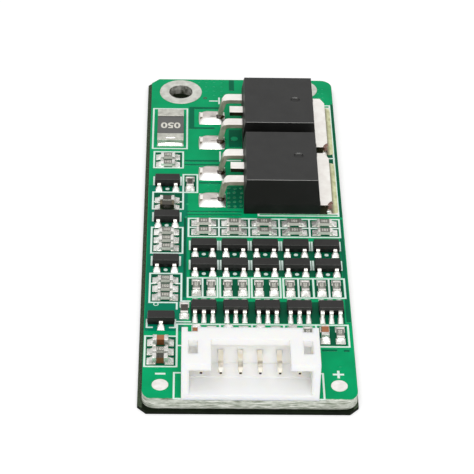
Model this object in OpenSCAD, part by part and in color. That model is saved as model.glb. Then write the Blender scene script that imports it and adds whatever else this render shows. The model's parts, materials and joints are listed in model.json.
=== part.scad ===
// Battery management board for five cells in series, in millimetres.
// The header faces -Y, the two power transistors stand at the +Y end.
// The origin lies under the middle of the insulating sheet.

/* [Circuit board] */
// Width of the circuit board
board_w = 22; // [22:0.5:28]
// Length of the circuit board
board_l = 58; // [58:0.5:66]
// Thickness of the circuit board
board_t = 1.2; // [0.8:0.1:2]
// Radius of the rounded board corners
corner_r = 1.4; // [0.6:0.1:1.8]
// Cut across the corner beside the large output ring
corner_cut = 0.9; // [0.4:0.1:1]
// Thickness of the tinned lands
land_t = 0.05; // [0.03:0.01:0.1]
// How far a land reaches past the end of a chip or a six lead package's feet
land_margin = 0.6; // [0.2:0.05:0.65]
// How far a land reaches past the feet of a three lead package
sot_margin = 0.25; // [0.1:0.05:0.4]
// How far a land reaches past the end of the shunt
shunt_margin = 0.35; // [0.1:0.05:0.6]
// Step by which a land is larger than what stands on it
land_under = 0.05; // [0.02:0.01:0.06]

/* [Insulating sheet] */
// Thickness of the insulating sheet under the board
sheet_t = 0.4; // [0.2:0.1:1]
// How far the sheet stands out on the left
sheet_left = 0.46; // [0.1:0.02:1]
// How far the sheet stands out on the right
sheet_right = 0.1; // [0.05:0.05:1]
// How far the sheet stands out under the header
sheet_front = 0.42; // [0.2:0.02:1]
// How far the sheet stands out behind the power end
sheet_rear = 0.8; // [0.1:0.05:1]
// Cut across the sheet's front corners
sheet_cut = 0.9; // [0.3:0.1:1.2]
// Cut across the sheet's rear corners
sheet_rear_cut = 0.5; // [0.3:0.1:1.2]

/* [Output rings] */
// Outer diameter of the large plated ring
ring_d = 5.1; // [4.6:0.1:5.4]
// Bore diameter of the large plated ring
ring_bore_d = 2.9; // [2.4:0.1:3.4]
// Outer diameter of the small plated ring
small_ring_d = 3.8; // [3.4:0.1:4]
// Bore diameter of the small plated ring
small_ring_bore_d = 2; // [1.4:0.1:2.4]
// Large ring from the left edge of the board
ring_x = 3.55; // [3.3:0.05:3.8]
// Large ring from the rear edge of the board
ring_y = 2.8; // [2.75:0.05:3]
// Small ring from the right edge of the board
small_ring_x = 3.7; // [3.2:0.1:5]
// Small ring from the rear edge of the board
small_ring_y = 2.05; // [2.02:0.01:2.4]

/* [Battery lands] */
// Diameter of the two round battery lands
tap_d = 1.7; // [1.2:0.1:2]
// Left land from the left edge, right land from the right edge
tap_x = 1.85; // [1.6:0.05:2]
// Both lands from the front edge
tap_y = 2.2; // [1.6:0.1:3]

/* [Header] */
// Number of header pins
pin_count = 6; // [4:1:6]
// Distance from pin to pin
pin_pitch = 2; // [1.9:0.05:2.05]
// Side of a square pin
pin_side = 0.5; // [0.4:0.05:0.64]
// Distance from an outer pin to the outer face of the end wall
header_end = 2; // [1.9:0.05:2.1]
// Depth of the housing from its mouth to its rear wall
header_depth = 5.75; // [5.4:0.05:6]
// Height of the housing
header_h = 4.8; // [4.4:0.1:5.6]
// Thickness of the floor, roof and end walls
header_wall = 0.8; // [0.6:0.05:0.9]
// Thickness of the rear wall that holds the pins
header_back = 1; // [0.9:0.05:1.2]
// How far the mouth stands over the front edge of the board
header_over = 0.05; // [0:0.05:0.3]
// Height of the pins above the board
pin_h = 2.4; // [2.2:0.05:2.6]
// Clearance between a pin's corners and its hole in the board
hole_clear = 0.1; // [0.05:0.01:0.15]
// How far the pin tips lie behind the mouth
pin_setback = 1.45; // [1:0.05:2]
// How far behind the rear wall the pins turn down
pin_behind = 0.65; // [0.6:0.05:0.9]
// Width of the opening in the roof
roof_gap_w = 8; // [7.4:0.1:8.4]
// Depth of the opening in the roof
roof_gap_d = 3.85; // [3:0.05:4.2]
// Width of each latch window
window_w = 0.95; // [0.8:0.05:1]
// Length of each latch window
window_l = 2; // [1.4:0.1:2.2]
// Distance from the mouth to a latch window
window_y = 1.7; // [1.4:0.1:2]
// How far a latch window bites into the end wall
window_bite = 0.1; // [0.05:0.05:0.2]
// Width of the slots in the rear corners
rear_slot_w = 1; // [0.8:0.05:1.1]
// Depth of the slots in the rear corners
rear_slot_d = 0.7; // [0.4:0.05:0.75]
// Height of the two legs behind the rear wall
leg_h = 2.9; // [2:0.1:3.2]
// Length of the two legs behind the rear wall
leg_l = 1.55; // [1.2:0.05:1.8]
// Width of the two legs
leg_w = 0.64; // [0.5:0.02:0.8]
// Cut across the top rear edge of the legs
leg_cut = 0.5; // [0.2:0.05:0.8]
// Widening of the cavity at the mouth
lead_in = 0.2; // [0.1:0.05:0.4]
// Depth of the step in the cavity's floor
floor_step = 0.12; // [0.05:0.01:0.2]
// Height of the relief under the floor
relief_h = 0.12; // [0.05:0.01:0.2]
// Depth of the front foot that the relief leaves
front_foot = 1.2; // [0.8:0.1:1.6]
// Depth of the rear foot that the relief leaves
rear_foot = 1.4; // [1:0.1:1.8]
// Height of the cheeks beside the roof opening
cheek_h = 1; // [0.8:0.1:1.2]
// Length of the taper at the pin tips
pin_taper = 0.45; // [0.3:0.05:0.6]
// Radius of the pins' bend, along the middle of the pin
pin_bend = 0.45; // [0.4:0.05:0.6]
// Clearance between a pin and its hole in the housing
pin_clear = 0.02; // [0.01:0.01:0.05]

/* [Power transistors] */
// Width of the moulded body, along the board
mosfet_w = 10; // [9.6:0.1:10.4]
// Length of the moulded body, across the board
mosfet_l = 8.6; // [8.2:0.1:8.8]
// Height of the moulded body
mosfet_h = 4.5; // [4.2:0.1:5.2]
// Slope of the body's sides above the lead plane, at the top
mosfet_draft = 0.36; // [0.1:0.02:0.5]
// Distance from the tab's free edge to the right edge of the board
mosfet_edge = 1.2; // [0.8:0.1:1.6]
// Gap between the two moulded bodies
mosfet_gap = 1.2; // [0.8:0.1:1.6]
// Thickness of the drain tab
tab_t = 1.3; // [1.1:0.05:1.5]
// How far the tab stands out of the body
tab_out = 1.35; // [1.2:0.05:1.6]
// Cut across the tab's free corners
tab_cut = 0.5; // [0.2:0.05:0.8]
// Where the tab starts inside the body
tab_in = 1.6; // [1.2:0.1:2]
// How much narrower than the body the tab is inside it, on each side
tab_inset = 0.7; // [0.4:0.05:1]
// How far the drain's land shows past the tab
drain_margin = 0.75; // [0.3:0.05:0.9]
// Length of the land under an outer lead
lead_land_l = 3; // [2.6:0.1:3.2]
// Width of the land under an outer lead
lead_land_w = 2.5; // [1.4:0.1:2.5]
// Distance from lead to lead
mosfet_pitch = 2.54; // [2.3:0.02:2.7]
// Width of a lead at its shoulder
shoulder_w = 1.27; // [1.1:0.01:1.4]
// Width of a lead at its foot
foot_w = 0.85; // [0.7:0.05:1]
// Thickness of the leads
mosfet_lead_t = 0.5; // [0.4:0.02:0.6]
// Height of the leads' middle plane above the board
lead_plane = 2.85; // [2.6:0.05:3]
// How far the shoulder stands out of the body
shoulder_l = 2.1; // [1.9:0.05:2.3]
// How far the foot stands out of the body
mosfet_reach = 4.95; // [4.6:0.05:5.05]
// Length of the flat foot
mosfet_foot = 2.3; // [1.8:0.1:2.4]
// Size of the outer leads' bends
lead_bend = 0.55; // [0.5:0.05:0.7]
// Length of the cropped middle lead
stub_l = 1.5; // [1:0.1:1.7]
// Where the middle lead starts to slope down to the tab inside the body
neck_x = 1.1; // [0.8:0.05:1.3]
// Length of that slope
neck_l = 1.5; // [1.2:0.1:1.8]
// Diameter of the ejector dimple in the top
dimple_d = 1.1; // [0.8:0.1:1.4]
// Depth of the ejector dimple
dimple_depth = 0.12; // [0.05:0.01:0.2]
// Distance from the dimple to the tab end of the body
dimple_edge = 2.4; // [1.8:0.1:3]

/* [Current shunt] */
// Length of the shunt, along the board
shunt_l = 6.35; // [5.8:0.05:6.6]
// Width of the shunt, across the board
shunt_w = 3.1; // [2.8:0.05:3.3]
// Height of the shunt
shunt_h = 0.65; // [0.5:0.05:0.9]
// Length of each metal end
shunt_end = 1.35; // [0.8:0.05:1.6]
// Thickness of the metal ends
shunt_plate = 0.1; // [0.06:0.01:0.14]
// Middle of the shunt from the left edge
shunt_x = 2.4; // [2.2:0.05:2.6]

/* [Small packages] */
// Length of the three lead body
sot_l = 2.9; // [2.6:0.05:3]
// Width of the three lead body
sot_w = 1.3; // [1.2:0.05:1.5]
// Span of the three lead package over its feet
sot_span = 2.4; // [2.3:0.05:2.6]
// Height of the three lead body
sot_h = 0.95; // [0.8:0.05:1.1]
// Distance between the two leads on one side
sot_pitch = 1.9; // [1.8:0.05:2]
// Length of the six lead body
monitor_l = 2.7; // [2.5:0.05:3]
// Width of the six lead body
monitor_w = 1.4; // [1.3:0.05:1.75]
// Span of the six lead package over its feet
monitor_span = 2.8; // [2.6:0.05:3]
// Height of the six lead body
monitor_h = 1; // [0.9:0.05:1.2]
// Height of the six leads' middle plane above the underside of their body
monitor_exit = 0.62; // [0.5:0.02:0.7]
// Distance between neighbouring leads of the six lead package
monitor_pitch = 0.95; // [0.9:0.01:1]
// Gap between the moulded bodies and the lands
standoff = 0.08; // [0.04:0.01:0.15]
// Slope of the moulded sides
sot_draft = 0.08; // [0.02:0.01:0.12]
// Width of the small leads
lead_w = 0.4; // [0.3:0.02:0.46]
// Thickness of the small leads
lead_t = 0.14; // [0.1:0.01:0.2]
// Length of the small feet
lead_foot = 0.3; // [0.2:0.02:0.34]

/* [Chip parts] */
// Length of a chip resistor or capacitor
chip_l = 1.6; // [1.4:0.05:1.7]
// Width of a chip resistor or capacitor
chip_w = 0.8; // [0.7:0.05:0.9]
// Height of a chip resistor
resistor_h = 0.45; // [0.35:0.05:0.6]
// Height of a chip capacitor
capacitor_h = 0.8; // [0.5:0.05:0.9]
// Length of the metal ends
chip_end = 0.26; // [0.2:0.02:0.4]
// Thickness of the metal ends
chip_plate = 0.03; // [0.02:0.01:0.05]

/* [Cell channels] */
// Distance from channel to channel
cell_pitch = 3.38; // [3.2:0.02:3.4]
// Middle of the last channel from the right edge
cell_edge = 2.15; // [2:0.05:2.2]
// Half the distance between two upright chips of a channel
pair_half = 0.8; // [0.6:0.02:0.84]

/* [Row spacing] */
// Front edge to the filter chips behind the header
filter_front = 9.25; // [8.6:0.05:9.6]
// Filter chips to the monitor chips
monitor_front = 1.65; // [1.4:0.05:2]
// Monitor chips to the gate resistors
gate_front = 1.65; // [1.4:0.05:2]
// Gate resistors to the lower transistors
lower_front = 1.35; // [1:0.05:1.6]
// Lower to upper transistors
upper_front = 1; // [0.9:0.05:1.4]
// Upper transistors to the first bleed resistors
bleed_front = 1.4; // [1.1:0.05:1.6]
// First to second row of bleed resistors
bleed_apart = 0.8; // [0.5:0.05:1]
// How far the two power transistors stand in front of the middle of their room
mosfet_shift = 0.28; // [0:0.02:0.6]

/* [Control column] */
// Middle of the column from the left edge
column_x = 2.17; // [2:0.01:2.3]
// How much further left the front group sits
column_shift = 0.37; // [0.1:0.01:0.45]
// Front edge to the first chip
column_front = 5.4; // [5:0.1:5.6]
// Gap between neighbouring chips of a group
group_gap = 0.63; // [0.5:0.01:0.7]
// Last front chip to the first control transistor
first_gap = 1.85; // [1.5:0.05:2]
// First control transistor to the second group
second_gap = 2.35; // [2:0.05:2.6]
// Groups of three chips to the transistors behind them
third_gap = 1.2; // [0.9:0.05:1.3]
// Delay pair to the last control transistor
delay_gap = 1.53; // [1.2:0.01:1.7]
// Last control transistor to the rear pair of chips
fourth_gap = 2.15; // [1.9:0.05:2.4]
// Rear pair of chips to the shunt
shunt_gap = 2.2; // [1.8:0.05:2.4]
// Middle of the upright chip beside the column, from the left edge
side_chip_x = 4.76; // [4.7:0.02:4.8]
// Middle of the upright chip beside the front transistor
corner_chip_x = 4.25; // [4.2:0.01:4.28]

/* [Hidden] */

$fn = 48;
// A cut runs this far past the face that it opens
past = 1;

// Levels above the surface that the part lies on
board_z = sheet_t;
top_z = board_z + board_t;
seat_z = top_z + land_t;

// The sheet is centred on the origin, and the board lies on it
sheet_w = sheet_left + board_w + sheet_right;
sheet_l = sheet_front + board_l + sheet_rear;
board_x0 = sheet_left - sheet_w / 2;
board_y0 = sheet_front - sheet_l / 2;

// Middles of the rows, from the front edge of the board
filter_y = filter_front + chip_l / 2;
monitor_y = filter_y + chip_l / 2 + monitor_front + monitor_span / 2;
gate_y = monitor_y + monitor_span / 2 + gate_front + chip_l / 2;
lower_y = gate_y + chip_l / 2 + lower_front + sot_span / 2;
upper_y = lower_y + sot_span + upper_front;
bleed_y = upper_y + sot_span / 2 + bleed_front + chip_w / 2;
bleed_rear_y = bleed_y + chip_w + bleed_apart;
// The power transistors share the room between the bleed resistors and the small ring
room_front = bleed_rear_y + chip_w / 2;
room_rear = board_l - small_ring_y - small_ring_d / 2;
mosfet_step = mosfet_w + mosfet_gap;
front_mosfet_y = (room_front + room_rear - mosfet_step) / 2 - mosfet_shift;
rear_mosfet_y = front_mosfet_y + mosfet_step;

// Places across the board, with one channel for each of the five cells
cell_count = 5;
function cell_x(i) = board_w - cell_edge - (cell_count - 1 - i) * cell_pitch;
mosfet_x = board_w - mosfet_edge - tab_out - mosfet_l;
cells = [0 : cell_count - 1];

// The control column, stacked from the front edge
chip_step = chip_w + group_gap;
front_group = [for (k = [0 : 2]) column_front + chip_w / 2 + k * chip_step];
control_1_y = front_group[2] + chip_w / 2 + first_gap + sot_span / 2;
second_group = [for (k = [0 : 2]) control_1_y + sot_span / 2 + second_gap + chip_w / 2 + k * chip_step];
control_2_y = second_group[2] + chip_w / 2 + third_gap + sot_span / 2;
third_group = [for (k = [0 : 2]) control_2_y + sot_span / 2 + third_gap + chip_w / 2 + k * chip_step];
control_3_y = third_group[2] + chip_w / 2 + group_gap + sot_span / 2;
delay_group = [for (k = [0 : 1]) control_3_y + sot_span / 2 + group_gap + chip_w / 2 + k * chip_step];
control_4_y = delay_group[1] + chip_w / 2 + delay_gap + sot_span / 2;
rear_group = [for (k = [0 : 1]) control_4_y + sot_span / 2 + fourth_gap + chip_w / 2 + k * chip_step];
shunt_y = rear_group[1] + chip_w / 2 + shunt_gap + shunt_l / 2;
front_column_x = column_x - column_shift;
// The leads of the three lead packages leave their bodies at half height
sot_exit = sot_h / 2;

// Header places, with the mouth as y = 0 and the board's top as z = 0
header_w = (pin_count - 1) * pin_pitch + 2 * header_end;
cavity_w = header_w - 2 * header_wall;
cavity_d = header_depth - header_back;
cavity_h = header_h - 2 * header_wall;
pin_turn_y = header_depth + pin_behind;
end_wall_x = header_w / 2 - header_wall;
pin_xs = [for (k = [0 : pin_count - 1]) (k - (pin_count - 1) / 2) * pin_pitch];
pin_hole_r = pin_side / sqrt(2) + hole_clear;

// Colours
mask_green = [0.02, 0.5, 0.3];
tin = [0.86, 0.86, 0.84];
mould_black = [0.13, 0.13, 0.13];
ivory = [0.94, 0.93, 0.88];
alumina = [0.3, 0.3, 0.28];
clay = [0.6, 0.36, 0.2];

// ---- placing ----

// A place on the board, from its front left corner and its top face
module on_board(x, y, z = 0) {
    translate([board_x0 + x, board_y0 + y, top_z + z]) children();
}

// A part that stands on the lands, turned about its own middle
module seated(x, y, turn = 0) {
    on_board(x, y, land_t) rotate([0, 0, turn]) children();
}

// ---- bent strips ----

function toward(a, b, d) = a + (b - a) / norm(b - a) * d;

// The corner b between a and c as a smooth bend that starts cut before it
function bend(a, b, c, cut, n) = [
    for (k = [0 : n])
        let (t = k / n, p = toward(b, a, cut), q = toward(b, c, cut))
            (1 - t) * (1 - t) * p + 2 * t * (1 - t) * b + t * t * q
];

// A path through the points, with each inner corner bent
function bent_path(pts, cut, n) = concat(
    [pts[0]],
    [for (i = [1 : len(pts) - 2]) each bend(pts[i - 1], pts[i], pts[i + 1], cut, n)],
    [pts[len(pts) - 1]]
);

// Direction from point i of the path to the next one, and at the last point from the one before
function heading(path, i) =
    let (k = min(max(i, 0), len(path) - 2), step = path[k + 1] - path[k]) step / norm(step);
// Step sideways from point i that keeps the strip's thickness around a bend
function side_step(path, i, d) =
    let (sum = heading(path, i - 1) + heading(path, i), mid = sum / norm(sum))
        d / (mid * heading(path, i)) * [-mid[1], mid[0]];
function side_of(path, d) = [for (i = [0 : len(path) - 1]) path[i] + side_step(path, i, d)];
function reversed(list) = [for (i = [len(list) - 1 : -1 : 0]) list[i]];

// A flat strip bent along a path in the YZ plane, centred on x = 0
module bent_strip(pts, cut, n, thick, width) {
    path = bent_path(pts, cut, n);
    rotate([90, 0, 90])
        linear_extrude(width, center = true)
            polygon(concat(side_of(path, thick / 2), reversed(side_of(path, -thick / 2))));
}

// ---- board and sheet ----

module board_outline() {
    difference() {
        square([board_w, board_l]);
        for (c = [[0, 0, 1, 1], [board_w, 0, -1, 1], [board_w, board_l, -1, -1]])
            translate([c[0], c[1]]) difference() {
                square(2 * corner_r, center = true);
                translate([c[2] * corner_r, c[3] * corner_r]) circle(corner_r);
            }
        translate([0, board_l]) rotate(45) square(corner_cut * sqrt(2), center = true);
    }
}

module circuit_board() {
    color(mask_green)
        translate([board_x0, board_y0, board_z]) difference() {
            linear_extrude(board_t) board_outline();
            translate([ring_x, board_l - ring_y, -past])
                cylinder(d = ring_bore_d, h = board_t + 2 * past);
            translate([board_w - small_ring_x, board_l - small_ring_y, -past])
                cylinder(d = small_ring_bore_d, h = board_t + 2 * past);
            for (x = pin_xs)
                translate([board_w / 2 + x, pin_turn_y - header_over, -past])
                    cylinder(r = pin_hole_r, h = board_t + 2 * past, $fn = 24);
        }
}

module insulating_sheet() {
    w = sheet_w / 2;
    l = sheet_l / 2;
    c = sheet_cut;
    r = sheet_rear_cut;
    color([0.1, 0.13, 0.11])
        linear_extrude(sheet_t)
            polygon([[c - w, -l], [w - c, -l], [w, c - l], [w, l - r],
                     [w - r, l], [r - w, l], [-w, l - r], [-w, c - l]]);
}

// ---- lands ----

// A plated ring round the mouth of its bore
module ring_land(outer_d, bore_d) {
    rotate_extrude()
        translate([bore_d / 2, 0]) square([(outer_d - bore_d) / 2, land_t]);
}

module power_ring_lands() {
    color(tin) {
        on_board(ring_x, board_l - ring_y) ring_land(ring_d, ring_bore_d);
        on_board(board_w - small_ring_x, board_l - small_ring_y)
            ring_land(small_ring_d, small_ring_bore_d);
    }
}

module battery_lands() {
    color(tin)
        for (x = [tap_x, board_w - tap_x])
            on_board(x, tap_y) cylinder(d = tap_d, h = land_t);
}

// A land under a foot that runs from y0 to y1 in front of its package
module land(x, y0, y1, w) {
    translate([x - w / 2, min(y0, y1), 0]) cube([w, abs(y1 - y0), land_t]);
}

// Lands of a chip that lies along X
module chip_land_pair() {
    inner = chip_l / 2 - chip_end - land_under;
    outer = chip_l / 2 + land_margin;
    for (s = [-1, 1])
        rotate([0, 0, 90 * s]) land(0, -inner, -outer, chip_w + 4 * land_under);
}

// Lands of a three lead package, with the lone lead at +Y
module sot_land_set() {
    foot = sot_span / 2;
    w = lead_w + 8 * land_under;
    inner = foot - lead_foot - 2 * land_under;
    for (x = [-sot_pitch / 2, sot_pitch / 2])
        land(x, -inner, -foot - sot_margin, w);
    land(0, inner, foot + sot_margin, w);
}

module monitor_land_set() {
    foot = monitor_span / 2;
    for (x = [-monitor_pitch, 0, monitor_pitch], s = [-1, 1])
        land(x, s * (foot - lead_foot - 2 * land_under), s * (foot + land_margin), lead_w + 3 * land_under);
}

module shunt_land_pair() {
    for (s = [-1, 1])
        land(0, s * (shunt_l / 2 - shunt_end), s * (shunt_l / 2 + shunt_margin), shunt_w);
}

module chip_lands() {
    color(tin) {
        for (i = cells) {
            for (y = [bleed_y, bleed_rear_y]) on_board(cell_x(i), y) chip_land_pair();
            for (s = [-1, 1]) {
                on_board(cell_x(i) + s * pair_half, gate_y) rotate(90) chip_land_pair();
                on_board(cell_x(i) + s * pair_half, filter_y) rotate(90) chip_land_pair();
            }
            for (y = [lower_y, upper_y]) on_board(cell_x(i), y) sot_land_set();
            on_board(cell_x(i), monitor_y) monitor_land_set();
        }
        for (y = front_group) on_board(front_column_x, y) chip_land_pair();
        for (y = concat(second_group, third_group, delay_group, rear_group))
            on_board(column_x, y) chip_land_pair();
        on_board(front_column_x, control_1_y) rotate(180) sot_land_set();
        for (y = [control_2_y, control_3_y, control_4_y]) on_board(column_x, y) sot_land_set();
        on_board(side_chip_x, control_4_y) rotate(90) chip_land_pair();
        on_board(corner_chip_x, monitor_y) rotate(90) chip_land_pair();
        on_board(shunt_x, shunt_y) shunt_land_pair();
    }
}

module mosfet_land_set() {
    drain_l = mosfet_l + tab_out - tab_in;
    translate([tab_in, -mosfet_w / 2, 0]) cube([drain_l + drain_margin, mosfet_w, land_t]);
    for (s = [-1, 1])
        translate([-mosfet_reach - 2 * land_under, s * mosfet_pitch - lead_land_w / 2, 0])
            cube([lead_land_l, lead_land_w, land_t]);
}

module mosfet_lands() {
    color(tin)
        for (y = [front_mosfet_y, rear_mosfet_y]) on_board(mosfet_x, y) mosfet_land_set();
}

// ---- power transistors ----
// Each stands on y = 0 with its leads at x < 0 and its tab at +X

// Moulded block, upright up to the lead plane and sloping above it
module mosfet_block() {
    d = mosfet_draft;
    intersection() {
        rotate([90, 0, 0]) linear_extrude(mosfet_w, center = true)
            polygon([[0, 0], [mosfet_l, 0], [mosfet_l, tab_t], [mosfet_l - d, mosfet_h],
                     [d * 0.75, mosfet_h], [0, lead_plane]]);
        rotate([90, 0, 90]) linear_extrude(mosfet_l)
            polygon([[-mosfet_w / 2, 0], [mosfet_w / 2, 0], [mosfet_w / 2, tab_t],
                     [mosfet_w / 2 - d, mosfet_h], [d - mosfet_w / 2, mosfet_h], [-mosfet_w / 2, tab_t]]);
    }
}

// Tab and cropped middle lead, one stamping with a neck that steps up inside the body
module mosfet_drain_shape() {
    end_x = mosfet_l + tab_out;
    half = mosfet_w / 2;
    inner = half - tab_inset;
    t = mosfet_lead_t / 2;
    neck_end = neck_x + neck_l;
    linear_extrude(tab_t)
        polygon([[tab_in, -inner], [mosfet_l, -inner], [mosfet_l, -half], [end_x - tab_cut, -half],
                 [end_x, 2 * tab_cut - half], [end_x, half - 2 * tab_cut], [end_x - tab_cut, half],
                 [mosfet_l, half], [mosfet_l, inner], [tab_in, inner]]);
    // The neck ends a little way inside the tab, so that the two are one piece
    rotate([90, 0, 0]) linear_extrude(shoulder_w, center = true)
        polygon([[-stub_l, lead_plane - t], [neck_x, lead_plane - t], [neck_end, tab_t - t],
                 [neck_end + 3 * t, tab_t - t], [neck_x + t, lead_plane + t], [-stub_l, lead_plane + t]]);
}

module mosfet_body() {
    color(mould_black) difference() {
        mosfet_block();
        mosfet_drain_shape();
        // Ejector dimple in the top face
        translate([mosfet_l - dimple_edge, 0, mosfet_h - dimple_depth])
            cylinder(d = dimple_d, h = past, $fn = 24);
    }
}

module mosfet_drain() {
    color(tin) mosfet_drain_shape();
}

// Outer lead: a wide shoulder, a steep drop and a narrow foot
module mosfet_lead() {
    t = mosfet_lead_t / 2;
    knee = mosfet_reach - mosfet_foot;
    a = shoulder_w / 2;
    b = foot_w / 2;
    taper = (a - b) / 2;
    color(tin) rotate([0, 0, 90]) intersection() {
        bent_strip([[0, lead_plane], [shoulder_l, lead_plane], [knee, t], [mosfet_reach, t]],
                   lead_bend, 5, mosfet_lead_t, shoulder_w);
        linear_extrude(mosfet_h)
            polygon([[-a, -past], [a, -past], [a, shoulder_l - taper], [b, shoulder_l + taper],
                     [b, mosfet_reach], [-b, mosfet_reach], [-b, shoulder_l + taper],
                     [-a, shoulder_l - taper]]);
    }
}

// ---- shunt and chips ----
// Each chip lies along X on z = 0

// Two ends of metal folded over the top, the end face and the underside
module folded_ends(l, w, h, end, plate) {
    for (s = [0, 1]) mirror([s, 0, 0])
        rotate([90, 0, 0]) linear_extrude(w, center = true)
            polygon([[l / 2 - end, 0], [l / 2, 0], [l / 2, h], [l / 2 - end, h],
                     [l / 2 - end, h - plate], [l / 2 - plate, h - plate],
                     [l / 2 - plate, plate], [l / 2 - end, plate]]);
}

// Two ends of metal dipped over all faces
module dipped_ends(l, w, h, end, plate) {
    for (s = [0, 1]) mirror([s, 0, 0]) difference() {
        translate([l / 2 - end, -w / 2, 0]) cube([end, w, h]);
        translate([0, plate - w / 2, plate]) cube([l / 2 - plate, w - 2 * plate, h - 2 * plate]);
    }
}

// Chip body between folded ends, as wide as they are
module resistor_core(l, w, h, plate) {
    translate([plate - l / 2, -w / 2, plate]) cube([l - 2 * plate, w, h - 2 * plate]);
}

// Chip body between dipped ends, thinner than they are
module capacitor_core(l, w, h, plate) {
    translate([plate - l / 2, plate - w / 2, plate]) cube([l - 2 * plate, w - 2 * plate, h - 2 * plate]);
}

module resistor_body() {
    color(alumina) resistor_core(chip_l, chip_w, resistor_h, chip_plate);
}

module resistor_ends() {
    color(tin) folded_ends(chip_l, chip_w, resistor_h, chip_end, chip_plate);
}

module capacitor_body() {
    color(clay) capacitor_core(chip_l, chip_w, capacitor_h, chip_plate);
}

module capacitor_ends() {
    color(tin) dipped_ends(chip_l, chip_w, capacitor_h, chip_end, chip_plate);
}

module shunt_body() {
    color([0.25, 0.25, 0.24])
        seated(shunt_x, shunt_y, 90) resistor_core(shunt_l, shunt_w, shunt_h, shunt_plate);
}

module shunt_terminals() {
    color(tin)
        seated(shunt_x, shunt_y, 90) folded_ends(shunt_l, shunt_w, shunt_h, shunt_end, shunt_plate);
}

// ---- small moulded packages ----

// Block that widens from both faces to the plane where its leads leave it
module moulded_block(l, w, h, exit) {
    d = sot_draft;
    mid = standoff + exit;
    function profile(s) = [[d - s / 2, standoff], [s / 2 - d, standoff], [s / 2, mid],
                           [s / 2 - d, standoff + h], [d - s / 2, standoff + h], [-s / 2, mid]];
    color(mould_black) intersection() {
        rotate([90, 0, 0]) linear_extrude(w, center = true) polygon(profile(l));
        rotate([90, 0, 90]) linear_extrude(l, center = true) polygon(profile(w));
    }
}

// Gull wing lead that leaves a body face at w / 2 and ends at span / 2
module gull_lead(w, span, exit) {
    exit_z = standoff + exit;
    foot_y = span / 2 - lead_foot;
    color(tin)
        bent_strip([[w / 2, exit_z], [foot_y - lead_t / 2, exit_z], [foot_y, lead_t / 2],
                    [span / 2, lead_t / 2]], lead_t * 0.7, 1, lead_t, lead_w);
}

module transistor_leads() {
    for (x = [-sot_pitch / 2, sot_pitch / 2])
        translate([x, 0, 0]) rotate([0, 0, 180]) gull_lead(sot_w, sot_span, sot_exit);
    gull_lead(sot_w, sot_span, sot_exit);
}

module monitor_body(i) {
    seated(cell_x(i), monitor_y) moulded_block(monitor_l, monitor_w, monitor_h, monitor_exit);
}

module monitor_leads(i) {
    seated(cell_x(i), monitor_y)
        for (x = [-monitor_pitch, 0, monitor_pitch], turn = [0, 180])
            translate([x, 0, 0]) rotate([0, 0, turn]) gull_lead(monitor_w, monitor_span, monitor_exit);
}

module transistor_body(x, y) {
    seated(x, y) moulded_block(sot_l, sot_w, sot_h, sot_exit);
}

module control_transistor_leads() {
    seated(front_column_x, control_1_y, 180) transistor_leads();
    for (y = [control_2_y, control_3_y, control_4_y]) seated(column_x, y) transistor_leads();
}

// ---- groups of chips ----

module at_bleed_resistors() {
    for (i = cells, y = [bleed_y, bleed_rear_y]) seated(cell_x(i), y) children();
}

module at_gate_resistors() {
    for (i = cells, s = [-1, 1]) seated(cell_x(i) + s * pair_half, gate_y, 90) children();
}

module at_filter_resistors() {
    for (i = cells) seated(cell_x(i) + pair_half, filter_y, 90) children();
}

module at_filter_capacitors() {
    for (i = cells) seated(cell_x(i) - pair_half, filter_y, 90) children();
    for (k = [0, 2]) seated(front_column_x, front_group[k]) children();
}

module at_control_resistors() {
    seated(front_column_x, front_group[1]) children();
    for (y = concat(second_group, third_group, rear_group)) seated(column_x, y) children();
    seated(column_x, delay_group[1]) children();
    seated(side_chip_x, control_4_y, 90) children();
    seated(corner_chip_x, monitor_y, 90) children();
}

module at_delay_capacitors() {
    seated(column_x, delay_group[0]) children();
}

// ---- header ----

module at_header() {
    on_board(board_w / 2, -header_over) children();
}

// Square bar from one corner to the opposite one
module bar(a, b) {
    translate(a) cube(b - a);
}

// Outer block with the two legs that flank the pins
module header_block() {
    w = header_w / 2;
    leg_y = header_depth + leg_l;
    bar([-w, 0, 0], [w, header_depth, header_h]);
    for (s = [0, 1]) mirror([s, 0, 0])
        translate([w - leg_w, 0, 0]) rotate([90, 0, 90]) linear_extrude(leg_w)
            polygon([[header_depth - past, 0], [leg_y, 0], [leg_y, leg_h - leg_cut],
                     [leg_y - leg_cut, leg_h], [header_depth - past, leg_h]]);
}

// The plug's room, with a lead-in at the mouth and a shallow step in the floor
module header_cavity() {
    w = cavity_w / 2;
    z0 = header_wall;
    z1 = header_wall + cavity_h;
    bar([-w, -past, z0], [w, cavity_d, z1]);
    bar([-w, -past, z0 - floor_step], [w, window_y + window_l / 2, z1]);
    for (s = [0, 1]) mirror([s, 0, 0])
        translate([0, 0, z0]) linear_extrude(cavity_h)
            polygon([[0, -past], [w + lead_in + past, -past], [w, lead_in], [0, lead_in]]);
}

module header_housing() {
    w = header_w / 2;
    color(ivory) at_header() difference() {
        header_block();
        header_cavity();
        // Wide opening in the roof for the plug's ramp
        bar([-roof_gap_w / 2, -past, header_wall + cheek_h], [roof_gap_w / 2, roof_gap_d, header_h + past]);
        for (s = [0, 1]) mirror([s, 0, 0]) {
            // Latch window
            translate([end_wall_x - window_w + window_bite, window_y, header_wall + cheek_h])
                cube([window_w, window_l, header_h]);
            // Slot in the rear corner, beside the leg
            translate([w - leg_w - rear_slot_w, header_depth - rear_slot_d, header_wall])
                cube([rear_slot_w, rear_slot_d + past, header_h]);
        }
        // Holes for the pins
        for (x = pin_xs)
            translate([x, header_depth, pin_h])
                cube([pin_side + 2 * pin_clear, 2 * (header_back + past), pin_side + 2 * pin_clear],
                     center = true);
        // Relief under the floor, which leaves two feet across the housing
        bar([-w - past, front_foot, -past], [w + past, header_depth - rear_foot, relief_h]);
    }
}

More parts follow.
